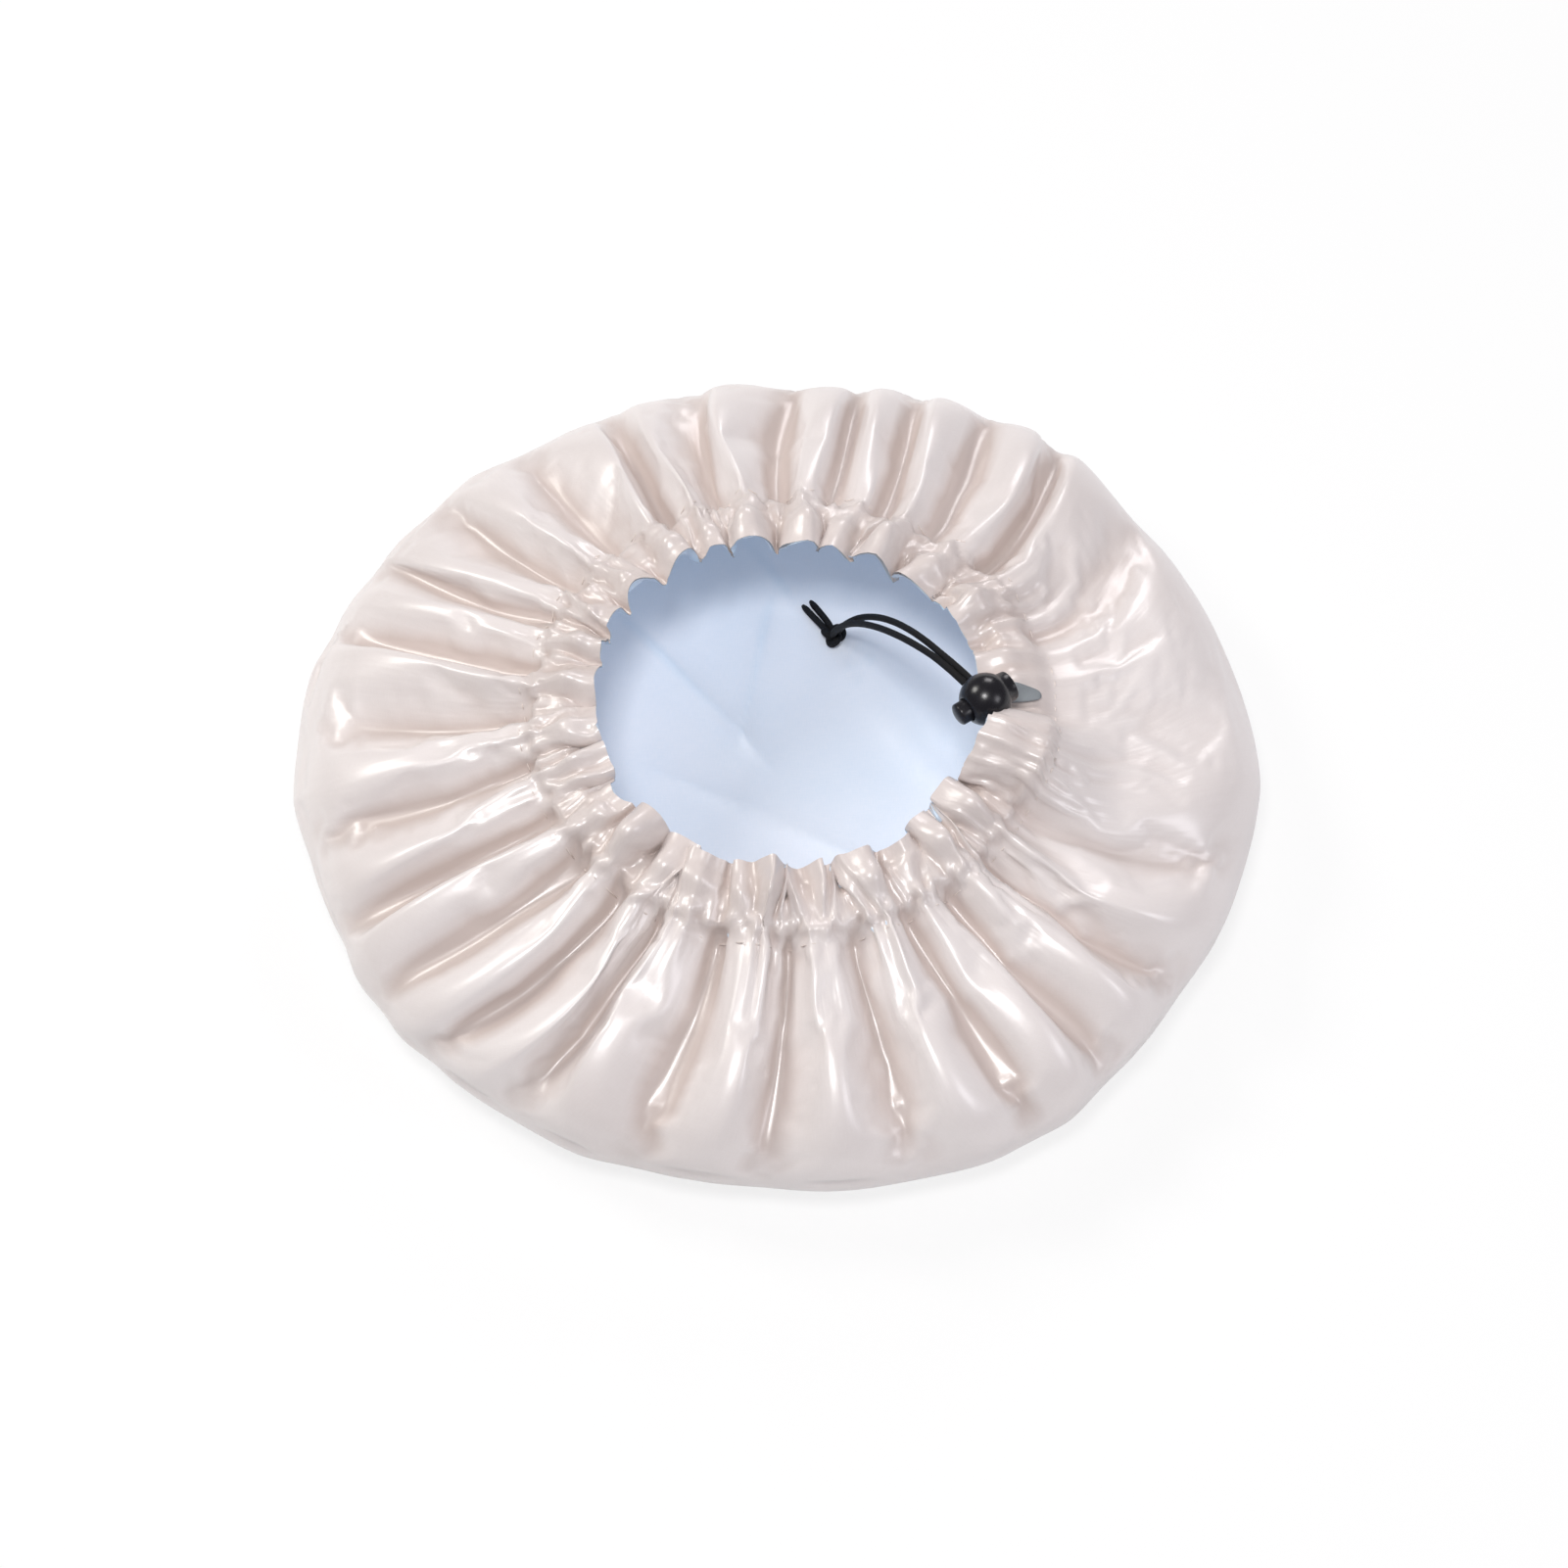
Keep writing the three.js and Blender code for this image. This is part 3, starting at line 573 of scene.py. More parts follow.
def resample(grid, rows, columns):
    """A grid of points, closed round its columns, read between its points by cubic curves."""

    def cubic(values, place, count, wrap):
        base = np.floor(place).astype(int)
        t = (place - base).reshape((-1,) + (1,) * (values.ndim - 1))
        spots = [base + k for k in (-1, 0, 1, 2)]
        a, b, c, d = (values[k % count if wrap else np.clip(k, 0, count - 1)] for k in spots)
        return b + 0.5 * t * (c - a + t * (2 * a - 5 * b + 4 * c - d + t * (3 * (b - c) + d - a)))

    by_row = cubic(grid, rows, grid.shape[0], False)
    return cubic(by_row.transpose(1, 0, 2), columns, grid.shape[1], True).transpose(1, 0, 2)


def grid_normals(grid):
    """Unit normals of a grid of points that point away from the inside of the pouch."""
    down = np.gradient(grid, axis=0)
    across = np.roll(grid, -1, axis=1) - np.roll(grid, 1, axis=1)
    normal = np.cross(across, down)
    return normal / np.maximum(np.linalg.norm(normal, axis=2, keepdims=True), 1e-9)


def lowest_near(height, reach):
    """The least of each height and its neighbours within reach, round the columns."""
    lowest = height
    for step in range(1, reach + 1):
        for way in (step, -step):
            lowest = np.minimum(lowest, np.roll(height, way, axis=1))
    return lowest


def lowered(grid, reach, gap):
    """A second layer, which stays under the first and doesn't follow it into its narrow ridges."""
    calm = eased(grid, 30)
    normal = grid_normals(calm)
    height = ((grid - calm) * normal).sum(axis=2)
    lowest = lowest_near(height, reach)
    padded = np.pad(lowest, ((1, 1), (0, 0)), mode="edge")
    lowest = np.minimum(lowest, np.minimum(padded[:-2], padded[2:]))
    lowest = np.minimum(eased(lowest, 3), height)
    return grid - normal * (height - lowest + gap)[..., None]


def eased(grid, passes):
    """A grid of points with its sharpest creases eased out round the columns."""
    for _ in range(passes):
        grid = 0.5 * grid + 0.25 * (np.roll(grid, 1, axis=1) + np.roll(grid, -1, axis=1))
    return grid


class Cloth:
    """Both layers as one strip: up the outer pouch to the hem, over it and down the lining to the seam."""

    def __init__(self, context):
        self.pouch = context.scene.pouch
        self.meridian = line = Meridian(self.pouch)
        self.columns = self.pouch.columns // 2
        self.angles = np.linspace(0, 360, self.columns, endpoint=False)
        self.outer_rows = np.concatenate((
            np.linspace(line.edge, line.fold, FOLD_ROWS),
            np.linspace(line.fold, line.gather, SLOPE_ROWS)[1:],
            np.linspace(line.gather, line.hem, CASING_ROWS)[1:],
        ))
        self.inner_rows = np.linspace(line.hem, line.gather, CASING_ROWS)
        self.outer = self.laid(self.outer_rows, self.angles)
        self.inner = self.laid(self.inner_rows, self.angles, lining=True)
        self.inner[0] = 0.5 * (self.inner[0] + self.outer[-1])

    def laid(self, rows, angles, lining=False):
        return drape(self.meridian, self.pouch, *np.meshgrid(rows, angles, indexing="ij"), lining)

    def outer_line(self, along, columns):
        """Points of the outer layer so far along it, read between its columns."""
        row = float(np.interp(along, self.outer_rows, np.arange(len(self.outer_rows))))
        return resample(self.outer, np.array([row]), columns)[0]

    def strip_stages(self):
        return self.meridian.stages(np.concatenate((self.outer_rows, self.inner_rows)))

    def snug(self):
        """How little spare cloth each point of the strip holds: one where the drape already shows it all."""
        stage = self.strip_stages()
        share = 0.6 * smooth(1.05, 1.95, stage) + 0.4 * smooth(1.95, 2.2, stage)
        quiet = 1 - 0.7 * bell(self.angles, SLIT, 34.0)[None, :] * (stage < 1.97)[:, None]
        return 1 - share[:, None] * quiet

    def held(self):
        """How firmly each point of the strip is held in place."""
        stage = self.strip_stages()
        pin = np.zeros((len(stage), self.columns))
        pin[stage <= 1.0] = 0.5
        pin[stage <= 0.75] = 1.0
        pin[np.abs(stage - 2.0) < 0.01] = 1.0
        pin[np.abs(stage - 2.45) < 0.11] = 1.0
        pin[-1] = 1.0
        _, top = gathered(self.angles)
        still = (bell(top, EXIT + 12, 26.0) > 0.5)[None, :] & (stage > 1.9)[:, None]
        pin[still] = 1.0
        return pin

    def settle(self, frames):
        """Let the strip buckle under its own fullness, as cloth."""
        strip = np.concatenate((self.outer, self.inner))
        pin = self.held()
        rows, columns = strip.shape[:2]
        bm = bmesh.new()
        bmesh.ops.create_grid(bm, x_segments=columns, y_segments=rows - 1, size=0.5)
        for vert in bm.verts:
            row, column = round((vert.co.y + 0.5) * (rows - 1)), round((vert.co.x + 0.5) * columns)
            vert.co = (column % columns, row, 0)
        bmesh.ops.remove_doubles(bm, verts=bm.verts, dist=1e-4)
        strip_object = place_mesh("strip", bm)
        mesh = strip_object.data
        column, row = np.rint(read_points(mesh)[:, :2]).astype(int).T
        set_points(mesh, strip[row, column])
        group = strip_object.vertex_groups.new(name="Held")
        for level in (1.0, 0.5):
            group.add([int(i) for i in np.flatnonzero(pin[row, column] == level)], level, "REPLACE")
        snug = strip_object.vertex_groups.new(name="Snug")
        for i, share in enumerate(self.snug()[row, column]):
            snug.add([i], float(share), "REPLACE")
        sim = strip_object.modifiers.new("Cloth", "CLOTH")
        settings = sim.settings
        settings.quality = 6
        settings.mass = 0.01
        settings.tension_stiffness = settings.compression_stiffness = 12
        settings.shear_stiffness = 4
        settings.bending_stiffness = 0.04
        settings.tension_damping = settings.compression_damping = 6
        settings.bending_damping = 0.4
        settings.air_damping = 4
        settings.vertex_group_mass = "Held"
        settings.pin_stiffness = 1.0
        settings.vertex_group_shrink = "Snug"
        settings.shrink_min, settings.shrink_max = -self.pouch.fullness, 0.0
        settings.use_pressure = True
        settings.uniform_pressure_force = self.pouch.pressure
        settings.effector_weights.gravity = 0.1
        sim.collision_settings.use_collision = False
        sim.collision_settings.use_self_collision = False
        sim.point_cache.frame_start, sim.point_cache.frame_end = 1, frames
        scene = bpy.context.scene
        for frame_number in range(1, frames + 1):
            scene.frame_set(frame_number)
        posed = strip_object.evaluated_get(bpy.context.evaluated_depsgraph_get()).to_mesh()
        settled = read_points(posed)
        scene.frame_set(1)
        bpy.data.objects.remove(strip_object)
        bpy.data.meshes.remove(mesh)
        strip[row, column] = settled
        if not np.isfinite(strip).all():
            raise RuntimeError("the cloth didn't settle")
        strip[..., 2] = np.maximum(strip[..., 2], 0.0004)
        self.outer, self.inner = np.split(strip, [len(self.outer_rows)])
        self.part_layers()
        self.turn_out()

    def turn_out(self):
        """Stand the hem of some ruffles on edge, so that the lining shows under their arches."""
        turn, top = gathered(self.angles)
        where = bell(top, HEM_ANGLE, HEM_WIDTH)
        for middle in FLICK_ANGLES:
            where = where + FLICK_SHARE * bell(top, middle, FLICK_WIDTH)
        arch = where * np.clip(0.35 + 0.75 * np.cos(2 * np.pi * turn), 0, 1)
        top = np.radians(top)
        away = np.stack((np.cos(top), np.sin(top), np.zeros_like(top)), axis=-1)
        layers = (self.outer, self.outer_rows, 0.0), (self.inner, self.inner_rows, HEM_PARTED)
        for grid, rows, parted in layers:
            stage = self.meridian.stages(rows)
            rise = smooth(2.55, 3.0, stage)[:, None] * arch
            inside = parted * rise * smooth(3.0, 2.9, stage)[:, None]
            grid += away * (HEM_OUT * rise - inside)[..., None]
            grid[..., 2] += HEM_UP * rise
            calm = smooth(2.5, 2.9, stage)[:, None] * np.minimum(where * 1.3, 1.0)
            grid += (eased(grid, 7) - grid) * calm[..., None]
        self.part_layers()

    def part_layers(self):
        """Keep the casing's lining under its outer layer, from the gather line to just short of the hem."""
        over = self.outer[-CASING_ROWS:]
        calm = eased(over, 8)
        normal = grid_normals(calm)[::-1]
        over, calm = over[::-1], calm[::-1]
        height = ((over - calm) * normal).sum(axis=2)
        share = smooth(-0.6, 2.5, np.arange(float(CASING_ROWS)))[:, None]
        limit = lowest_near(height, 1) - LAYERS_APART * share
        own = ((self.inner - calm) * normal).sum(axis=2)
        self.inner -= normal * (np.maximum(own - limit, 0) * share)[..., None]


DRAPED = {}


class Tail:
    """The arc on which the lock slides, and the points of the two strands that follow it."""

    def __init__(self, context):
        self.cord, self.lock = context.scene.bonnet_cord, context.scene.bonnet_lock
        self.place = Vector(self.lock.place) + Vector(PLACE_SHIFT)
        self.heading = Vector((math.cos(self.cord.heading), math.sin(self.cord.heading), 0))
        self.axis = Vector((0, 0, 1)).cross(self.heading)
        self.centre = self.place - self.radial(0) * self.cord.arc_radius

    def radial(self, sweep):
        dip = self.cord.dip + sweep
        return self.heading * math.sin(dip) + Vector((0, 0, math.cos(dip)))

    def at(self, sweep, aside=0.0):
        return self.centre + self.radial(sweep) * self.cord.arc_radius + self.axis * aside

    def knot_place(self):
        place = self.at(self.cord.sweep)
        place.z = KNOT_FLOOR + self.cord.knot + self.cord.diameter * KNOT_LOOP
        return place

    def strand(self, side, ring_end, slit):
        """A strand's points, from the ring's end up through the slit, into the lock and down to its tip."""
        millimetre = 0.001 / self.cord.arc_radius
        rear_sweep = (self.lock.ball * 1000 + 1) * millimetre
        half = side * self.cord.spacing / 2
        rear = self.at(-rear_sweep, half)
        back = (rear - self.at(-0.5 * rear_sweep, half)).normalized()
        across = self.axis * side * self.cord.spacing / 2
        points = [
            ring_end, ring_end.lerp(slit, 0.35), slit + Vector((0, 0, SLIT_RISE)),
            rear + across + back * TURN_BACK + Vector((0, 0, -TURN_DOWN)),
            rear + back * 0.004 + Vector((0, 0, -0.001)),
        ]
        last = self.cord.sweep - 5.0 * millimetre
        for share in np.linspace(0, 1, 17):
            open_share = math.sin(math.pi * min(max((share - 0.3) / 0.7, 0), 1))
            aside = side * mix(self.cord.spacing, self.cord.spread, open_share) / 2
            points.append(self.at(mix(-rear_sweep, last, share), aside))
        knot = self.knot_place()
        far = knot + self.heading * (0.005 + self.cord.end) + across * 1.3
        far.z = KNOT_FLOOR + self.cord.diameter / 2
        points += [knot + across * 0.5, knot + self.heading * 0.006 + across, far]
        return points


def flowing(points, step):
    """A smooth line through the points, cut to even steps."""
    points = [Vector(p) for p in points]
    ends = [points[0] * 2 - points[1], *points, points[-1] * 2 - points[-2]]
    line = [points[0]]
    for a, b, c, d in zip(ends, ends[1:], ends[2:], ends[3:]):
        t1 = max((b - a).length, 1e-6) ** 0.5
        t2 = t1 + max((c - b).length, 1e-6) ** 0.5
        t3 = t2 + max((d - c).length, 1e-6) ** 0.5
        for share in np.linspace(0, 1, 13)[1:]:
            t = mix(t1, t2, float(share))
            ab, bc = a.lerp(b, t / t1), b.lerp(c, (t - t1) / (t2 - t1))
            cd = c.lerp(d, (t - t2) / (t3 - t2))
            abc, bcd = ab.lerp(bc, t / t2), bc.lerp(cd, (t - t1) / (t3 - t1))
            line.append(abc.lerp(bcd, (t - t1) / (t2 - t1)))
    along = np.concatenate(([0], np.cumsum([(q - p).length for p, q in zip(line, line[1:])])))
    count = max(2, round(along[-1] / step))
    table = np.array(line)
    even = np.linspace(0, along[-1], count + 1)
    spots = [Vector([float(np.interp(x, along, table[:, i])) for i in range(3)]) for x in even]
    return spots, float(along[-1])


def tube(path, radius, sides, closed=False):
    """A circle extruded along a path. Its UV map runs once round the cord, and in metres along it."""
    count = len(path)
    ways = []
    for i in range(count):
        before = path[i - 1] if closed or i else path[i]
        after = path[(i + 1) % count] if closed or i < count - 1 else path[i]
        ways.append((after - before).normalized())
    up = ways[0].orthogonal().normalized()
    frames = []
    for place, way in zip(path, ways):
        up = (up - way * up.dot(way)).normalized()
        frames.append(Matrix((up, way.cross(up), way)).transposed().to_4x4())
        frames[-1].translation = place
    bm = bmesh.new()
    uv = bm.loops.layers.uv.new("cord")
    first = bmesh.ops.create_circle(bm, segments=sides, radius=radius)["verts"]
    around = sorted(first, key=lambda v: math.atan2(v.co.y, v.co.x))
    shrink = {} if closed else {0: 0.55, 1: 0.9}
    sizes = [shrink.get(min(i, count - 1 - i), 1.0) for i in range(count)]
    rings = [turn @ Matrix.Diagonal((size, size, 1, 1)) for turn, size in zip(frames, sizes)]
    bmesh.ops.transform(bm, verts=around, matrix=rings[0])
    start, along = list(around), 0.0
    for i in range(1, count):
        edges = [bm.edges.get((around[k - 1], around[k])) for k in range(sides)]
        grown = bmesh.ops.extrude_edge_only(bm, edges=edges)["geom"]
        fresh = {v for v in grown if isinstance(v, bmesh.types.BMVert)}
        nxt = [next(e.other_vert(v) for e in v.link_edges if e.other_vert(v) in fresh) for v in around]
        bmesh.ops.transform(bm, verts=nxt, matrix=rings[i] @ rings[i - 1].inverted())
        step = (path[i] - path[i - 1]).length
        spots = {v: (k, along) for k, v in enumerate(around)}
        spots |= {v: (k, along + step) for k, v in enumerate(nxt)}
        for face in (f for f in grown if isinstance(f, bmesh.types.BMFace)):
            wraps = {spots[l.vert][0] for l in face.loops} == {0, sides - 1}
            for loop in face.loops:
                k, far = spots[loop.vert]
                loop[uv].uv = ((k + sides * (wraps and k == 0)) / sides, far)
        around, along = nxt, along + step
    ends = [[bm.edges.get((ring[k - 1], ring[k])) for k in range(sides)] for ring in (start, around)]
    if closed:
        bmesh.ops.bridge_loops(bm, edges=ends[0] + ends[1])
    else:
        for end in ends:
            bmesh.ops.edgeloop_fill(bm, edges=end)
    bmesh.ops.recalc_face_normals(bm, faces=bm.faces)
    return bm


def turned(profile, steps=56):
    """A profile of (radius, height along y) points spun round the y axis."""
    bm = bmesh.new()
    verts = [bm.verts.new((radius, height, 0)) for radius, height in profile]
    edges = [bm.edges.new(pair) for pair in zip(verts, verts[1:])]
    bmesh.ops.spin(
        bm, geom=verts + edges, cent=(0, 0, 0), axis=(0, 1, 0), angle=2 * math.pi, steps=steps,
        use_merge=True,
    )
    bmesh.ops.remove_doubles(bm, verts=bm.verts, dist=1e-7)
    bmesh.ops.recalc_face_normals(bm, faces=bm.faces)
    return bm


def arc(centre, radius, start, end, count=7):
    return [
        (centre[0] + radius * math.cos(a), centre[1] + radius * math.sin(a))
        for a in np.linspace(math.radians(start), math.radians(end), count)
    ]


def passage(low, high, width):
    """A cutter along x for the cords, rounded at both ends, from low to high along y."""
    bm = bmesh.new()
    middle = (low + high) / 2
    half = (high - low - width) / 2
    bmesh.ops.create_cone(bm, segments=32, radius1=width / 2, radius2=width / 2, depth=0.05, cap_ends=True)
    for vert in bm.verts:
        vert.co.x += half if vert.co.x > 0 else -half
    bmesh.ops.rotate(bm, verts=bm.verts, matrix=Matrix.Rotation(math.pi / 2, 3, "Z"))
    bmesh.ops.rotate(bm, verts=bm.verts, matrix=Matrix.Rotation(math.pi / 2, 3, "Y"))
    bmesh.ops.translate(bm, verts=bm.verts, vec=(0, middle, 0))
    return bm


def carve(bm, cutter, matrix):
    """bm less cutter, moved to its place."""
    made = [place_mesh("carved", bm), place_mesh("cutter", cutter)]
    cut = made[0].modifiers.new("Passage", "BOOLEAN")
    cut.operation, cut.object, cut.solver = "DIFFERENCE", made[1], "EXACT"
    result = bmesh.new()
    result.from_object(made[0], bpy.context.evaluated_depsgraph_get())
    for piece in made:
        bpy.data.meshes.remove(piece.data)
    if not result.faces:
        raise RuntimeError("the passage through the lock couldn't be cut")
    bmesh.ops.transform(result, matrix=matrix, verts=result.verts)
    return result


def place_mesh(name, bm):
    """An object of the scene that holds the bmesh, which is freed."""
    mesh = bpy.data.meshes.new(name)
    bm.to_mesh(mesh)
    bm.free()
    piece = bpy.data.objects.new(name, mesh)
    bpy.context.scene.collection.objects.link(piece)
    return piece


def finish_mesh(name, bm, material, body, stands_for):
    """A piece of the bonnet, with the body that it rides on and the nodes that it stands for."""
    piece = place_mesh(name, bm)
    piece.data.materials.append(material)
    piece.data.shade_smooth()
    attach(piece, body)
    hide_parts(*stands_for)
    return piece


def cut_circle(rows, columns):
    """The flat circle that the cloth is cut to: a grid, rolled round the middle of the crown."""
    bm = bmesh.new()
    bmesh.ops.create_grid(bm, x_segments=columns, y_segments=len(rows) - 1, size=0.5)
    for vert in bm.verts:
        along = rows[round((vert.co.y + 0.5) * (len(rows) - 1))]
        turn = (vert.co.x + 0.5) * 2 * math.pi
        vert.co = (along * math.cos(turn), along * math.sin(turn), 0.0)
    seam = [v for v in bm.verts if abs(v.co.y) < 1e-6 and v.co.x > 0]
    bmesh.ops.remove_doubles(bm, verts=seam, dist=1e-6)
    near = rows[0] * 1.1
    hole = [e for e in bm.edges if e.is_boundary and (e.verts[0].co + e.verts[1].co).length / 2 < near]
    bmesh.ops.edgeloop_fill(bm, edges=hole)
    crowded = [v for v in bm.verts if v.co.length < CROWDED_REACH]
    bmesh.ops.remove_doubles(bm, verts=crowded, dist=CROWDED_STEP)
    return bm


def lay_pattern(mesh, across):
    """The cut cloth's width and length as its UV map, so that the weave runs straight across it."""
    flat = read_points(mesh)
    layer = mesh.uv_layers.new(name="cut")
    corner = np.zeros(len(mesh.loops), int)
    mesh.loops.foreach_get("vertex_index", corner)
    layer.data.foreach_set("uv", (flat[corner, :2] / across + 0.5).ravel())
    return flat


def mark_crease_shade(mesh, points, row, column):
    """How deep in a crease each point lies, from 0 to 1, for the painted shade in the creases."""
    calm = eased(points, 24)
    depth = ((calm - points) * grid_normals(calm)).sum(axis=2)
    depth = np.clip(eased(depth, 2) / 0.0035, 0, 1)
    mesh.attributes.new("crease", "FLOAT", "POINT").data.foreach_set("value", depth[row, column])


def mark_run(mesh, stages, columns, row, column):
    """Which way the gathers run, for the paint: the turn round the cloth and the stage."""
    turn = column / columns * 2 * math.pi
    run = np.column_stack((np.cos(turn), np.sin(turn), stages[row]))
    mesh.attributes.new("run", "FLOAT_VECTOR", "POINT").data.foreach_set("vector", run.ravel())


def read_points(mesh):
    points = np.zeros(len(mesh.vertices) * 3)
    mesh.vertices.foreach_get("co", points)
    return points.reshape(-1, 3)


def set_points(mesh, points):
    mesh.vertices.foreach_set("co", np.asarray(points, float).ravel())
    mesh.update()


class BONNET_OT_cords(bpy.types.Operator):
    """Lay the drawcord's two strands through the lock to their knot"""

    bl_idname = "bonnet.cords"
    bl_label = "Cord Tail"

    def execute(self, context):
        tail = Tail(context)
        cord = tail.cord
        elastic = braid("black elastic", tuple(context.scene.bonnet_colours.elastic))
        shift = Vector(PLACE_SHIFT)
        for name, side, ring_end, slit in STRANDS:
            points = tail.strand(side, Vector(ring_end) + shift, Vector(slit) + shift)
            line, length = flowing(points, cord.diameter * 0.6)
            piece = finish_mesh(
                f"cord_{name}", tube(line, cord.diameter / 2, cord.sides), elastic, "bonnet",
                (f"tail_strand_{name}", f"tail_end_{name}"),
            )
        loops = []
        for angle in np.linspace(0, 2 * math.pi, 73)[:-1]:
            loops.append(tail.knot_place() + Vector((
                cord.knot * (math.sin(angle) + 2 * math.sin(2 * angle)),
                cord.knot * (math.cos(angle) - 2 * math.cos(2 * angle)),
                -cord.knot * math.sin(3 * angle),
            )))
        knot = tube(loops, cord.diameter * KNOT_LOOP, cord.sides, closed=True)
        finish_mesh("knot", knot, elastic, "bonnet", ("tail_knot",))
        return {"FINISHED"}


class BONNET_OT_lock(bpy.types.Operator):
    """Turn the ball cord lock and its button, and bore them for the cords"""

    bl_idname = "bonnet.lock"
    bl_label = "Cord Lock"

    def execute(self, context):
        tail = Tail(context)
        lock, cord = tail.lock, tail.cord
        plastic = moulded("lock plastic", tuple(context.scene.bonnet_colours.plastic))
        along = tail.axis.cross(tail.radial(0))
        place = Matrix((along, tail.axis, tail.radial(0))).transposed().to_4x4()
        place.translation = tail.place
        bore = cord.spacing + cord.diameter + 2 * lock.gap
        width = cord.diameter + 4 * lock.gap
        rim = math.degrees(math.asin(lock.mouth / lock.ball))
        foot = -math.degrees(math.acos(lock.base_radius / lock.ball))
        soft, outer_lip, inner_lip = 0.0007, 0.0004, 0.0003  # radii of the foot's edge and the mouth's two
        cavity = lock.button + lock.gap
        rim_radius = lock.ball * math.cos(math.radians(rim))
        floor = lock.base_wall - lock.base
        profile = [
            (0.0, -lock.base), *arc((lock.base_radius - soft, soft - lock.base), soft, -90, 0),
            *arc((0, 0), lock.ball, foot + 2, rim - 3, 34),
            *arc((rim_radius - outer_lip, lock.mouth - outer_lip), outer_lip, 50, 90, 4),
            *arc((cavity + inner_lip, lock.mouth - inner_lip), inner_lip, 90, 180, 4),
            (cavity, floor), (0.0, floor),
        ]
        body = carve(turned(profile), passage(-bore / 2, bore / 2, width), place)
        finish_mesh("lock_ball", body, plastic, "cord_lock", ("lock_body",))
        rear = -bore / 2 - lock.rear_wall
        top = lock.mouth + lock.stands_out
        crown = [
            (lock.button * math.cos(a), top - lock.dome + lock.dome * math.sin(a))
            for a in np.linspace(0, math.pi / 2, 12)
        ]
        profile = [(0.0, rear), (lock.button, rear), *crown[:-1], (0.0, top)]
        button = carve(turned(profile), passage(-bore / 2, bore / 2 + lock.travel, width), place)
        finish_mesh("lock_press", button, plastic, "lock_plunger", ("lock_button",))
        return {"FINISHED"}


def cloth_piece(name, cloth, crown, layer, layer_rows, look, slot, stands_for, rests_on):
    """One cloth, cut as a flat circle and then laid where the crown's rows and the layer's say."""
    line, hem = cloth.meridian, cloth.meridian.hem
    columns = np.arange(cloth.pouch.columns) / 2
    fine = np.linspace(0, len(layer) - 1, 2 * len(layer) - 1)[1:]
    along = np.interp(fine, np.arange(len(layer)), layer_rows)
    rows = np.concatenate((crown_rows(line, len(crown)), along))
    stages = line.stages(rows)
    points = np.concatenate((crown, resample(layer, fine, columns)))
    points = pucker(points, stages, columns * 360 / cloth.columns)
    count = len(columns)
    piece = finish_mesh(name, cut_circle(rows, count), look, "bonnet", stands_for)
    flat = lay_pattern(piece.data, 2 * hem)
    row = np.abs(np.hypot(flat[:, 0], flat[:, 1])[:, None] - rows).argmin(axis=1)
    column = np.rint(np.arctan2(flat[:, 1], flat[:, 0]) / (2 * math.pi) * count).astype(int) % count
    set_points(piece.data, points[row, column])
    mark_crease_shade(piece.data, points, row, column)
    mark_run(piece.data, stages, count, row, column)
    face_up(piece.data)
    2 * hem
    2 * hem
    math.pi * hem**2


def crown_rows(meridian, count):
    return np.linspace(0.003, meridian.edge, count)


def crown_relief(x, y):
    """How high the lining stands off the flat crown: a tilt, and soft creases that miss the knot."""
    (x0, y0), (tilt_x, tilt_y) = TILT_FROM, TILT_WAY
    beyond = (x - x0) * tilt_x + (y - y0) * tilt_y
    relief = smooth(0.0, 0.04, beyond) * TILT_RISE * np.clip(beyond, 0, 0.09)
    for (x0, y0), (x1, y1), high in CREASES:
        run = Vector((x1 - x0, y1 - y0))
        ax, ay = x - x0, y - y0
        across = (ax * run.y - ay * run.x) / run.length
        share = (ax * run.x + ay * run.y) / run.length_squared
        ends = smooth(-0.5, 0.1, share), smooth(1.5, 0.9, share)
        relief = relief + high * np.exp(-np.abs(across / CREASE_WIDTH) ** 1.2) * ends[0] * ends[1]
    return relief * smooth(KNOT_FLAT, KNOT_FREE, np.hypot(x - KNOT_SPOT[0], y - KNOT_SPOT[1]))


def lining_layer(cloth):
    """The lining beyond the crown: slack under the outer slope, then the inside of the casing."""
    to_seam = FOLD_ROWS + SLOPE_ROWS - 1
    stage = cloth.meridian.stages(cloth.outer_rows)
    hidden = smooth(1.15, 1.5, stage) * (1 - smooth(1.7, 1.95, stage))
    waves = 0.5 + 0.5 * np.cos(np.radians(cloth.angles) * SLACK_WAVES)
    slack = SLACK_DEPTH * hidden[:, None] * waves
    near = SEAM_ROOM * smooth(1.6, 1.95, stage)[:, None]
    under = lowered(cloth.outer, 2, cloth.pouch.layer_gap + LINING_ROOM + slack + near)[:to_seam]
    layer = np.concatenate((under[:-1], cloth.inner[::-1]))
    return layer, np.concatenate((cloth.outer_rows[:to_seam - 1], cloth.inner_rows[::-1]))


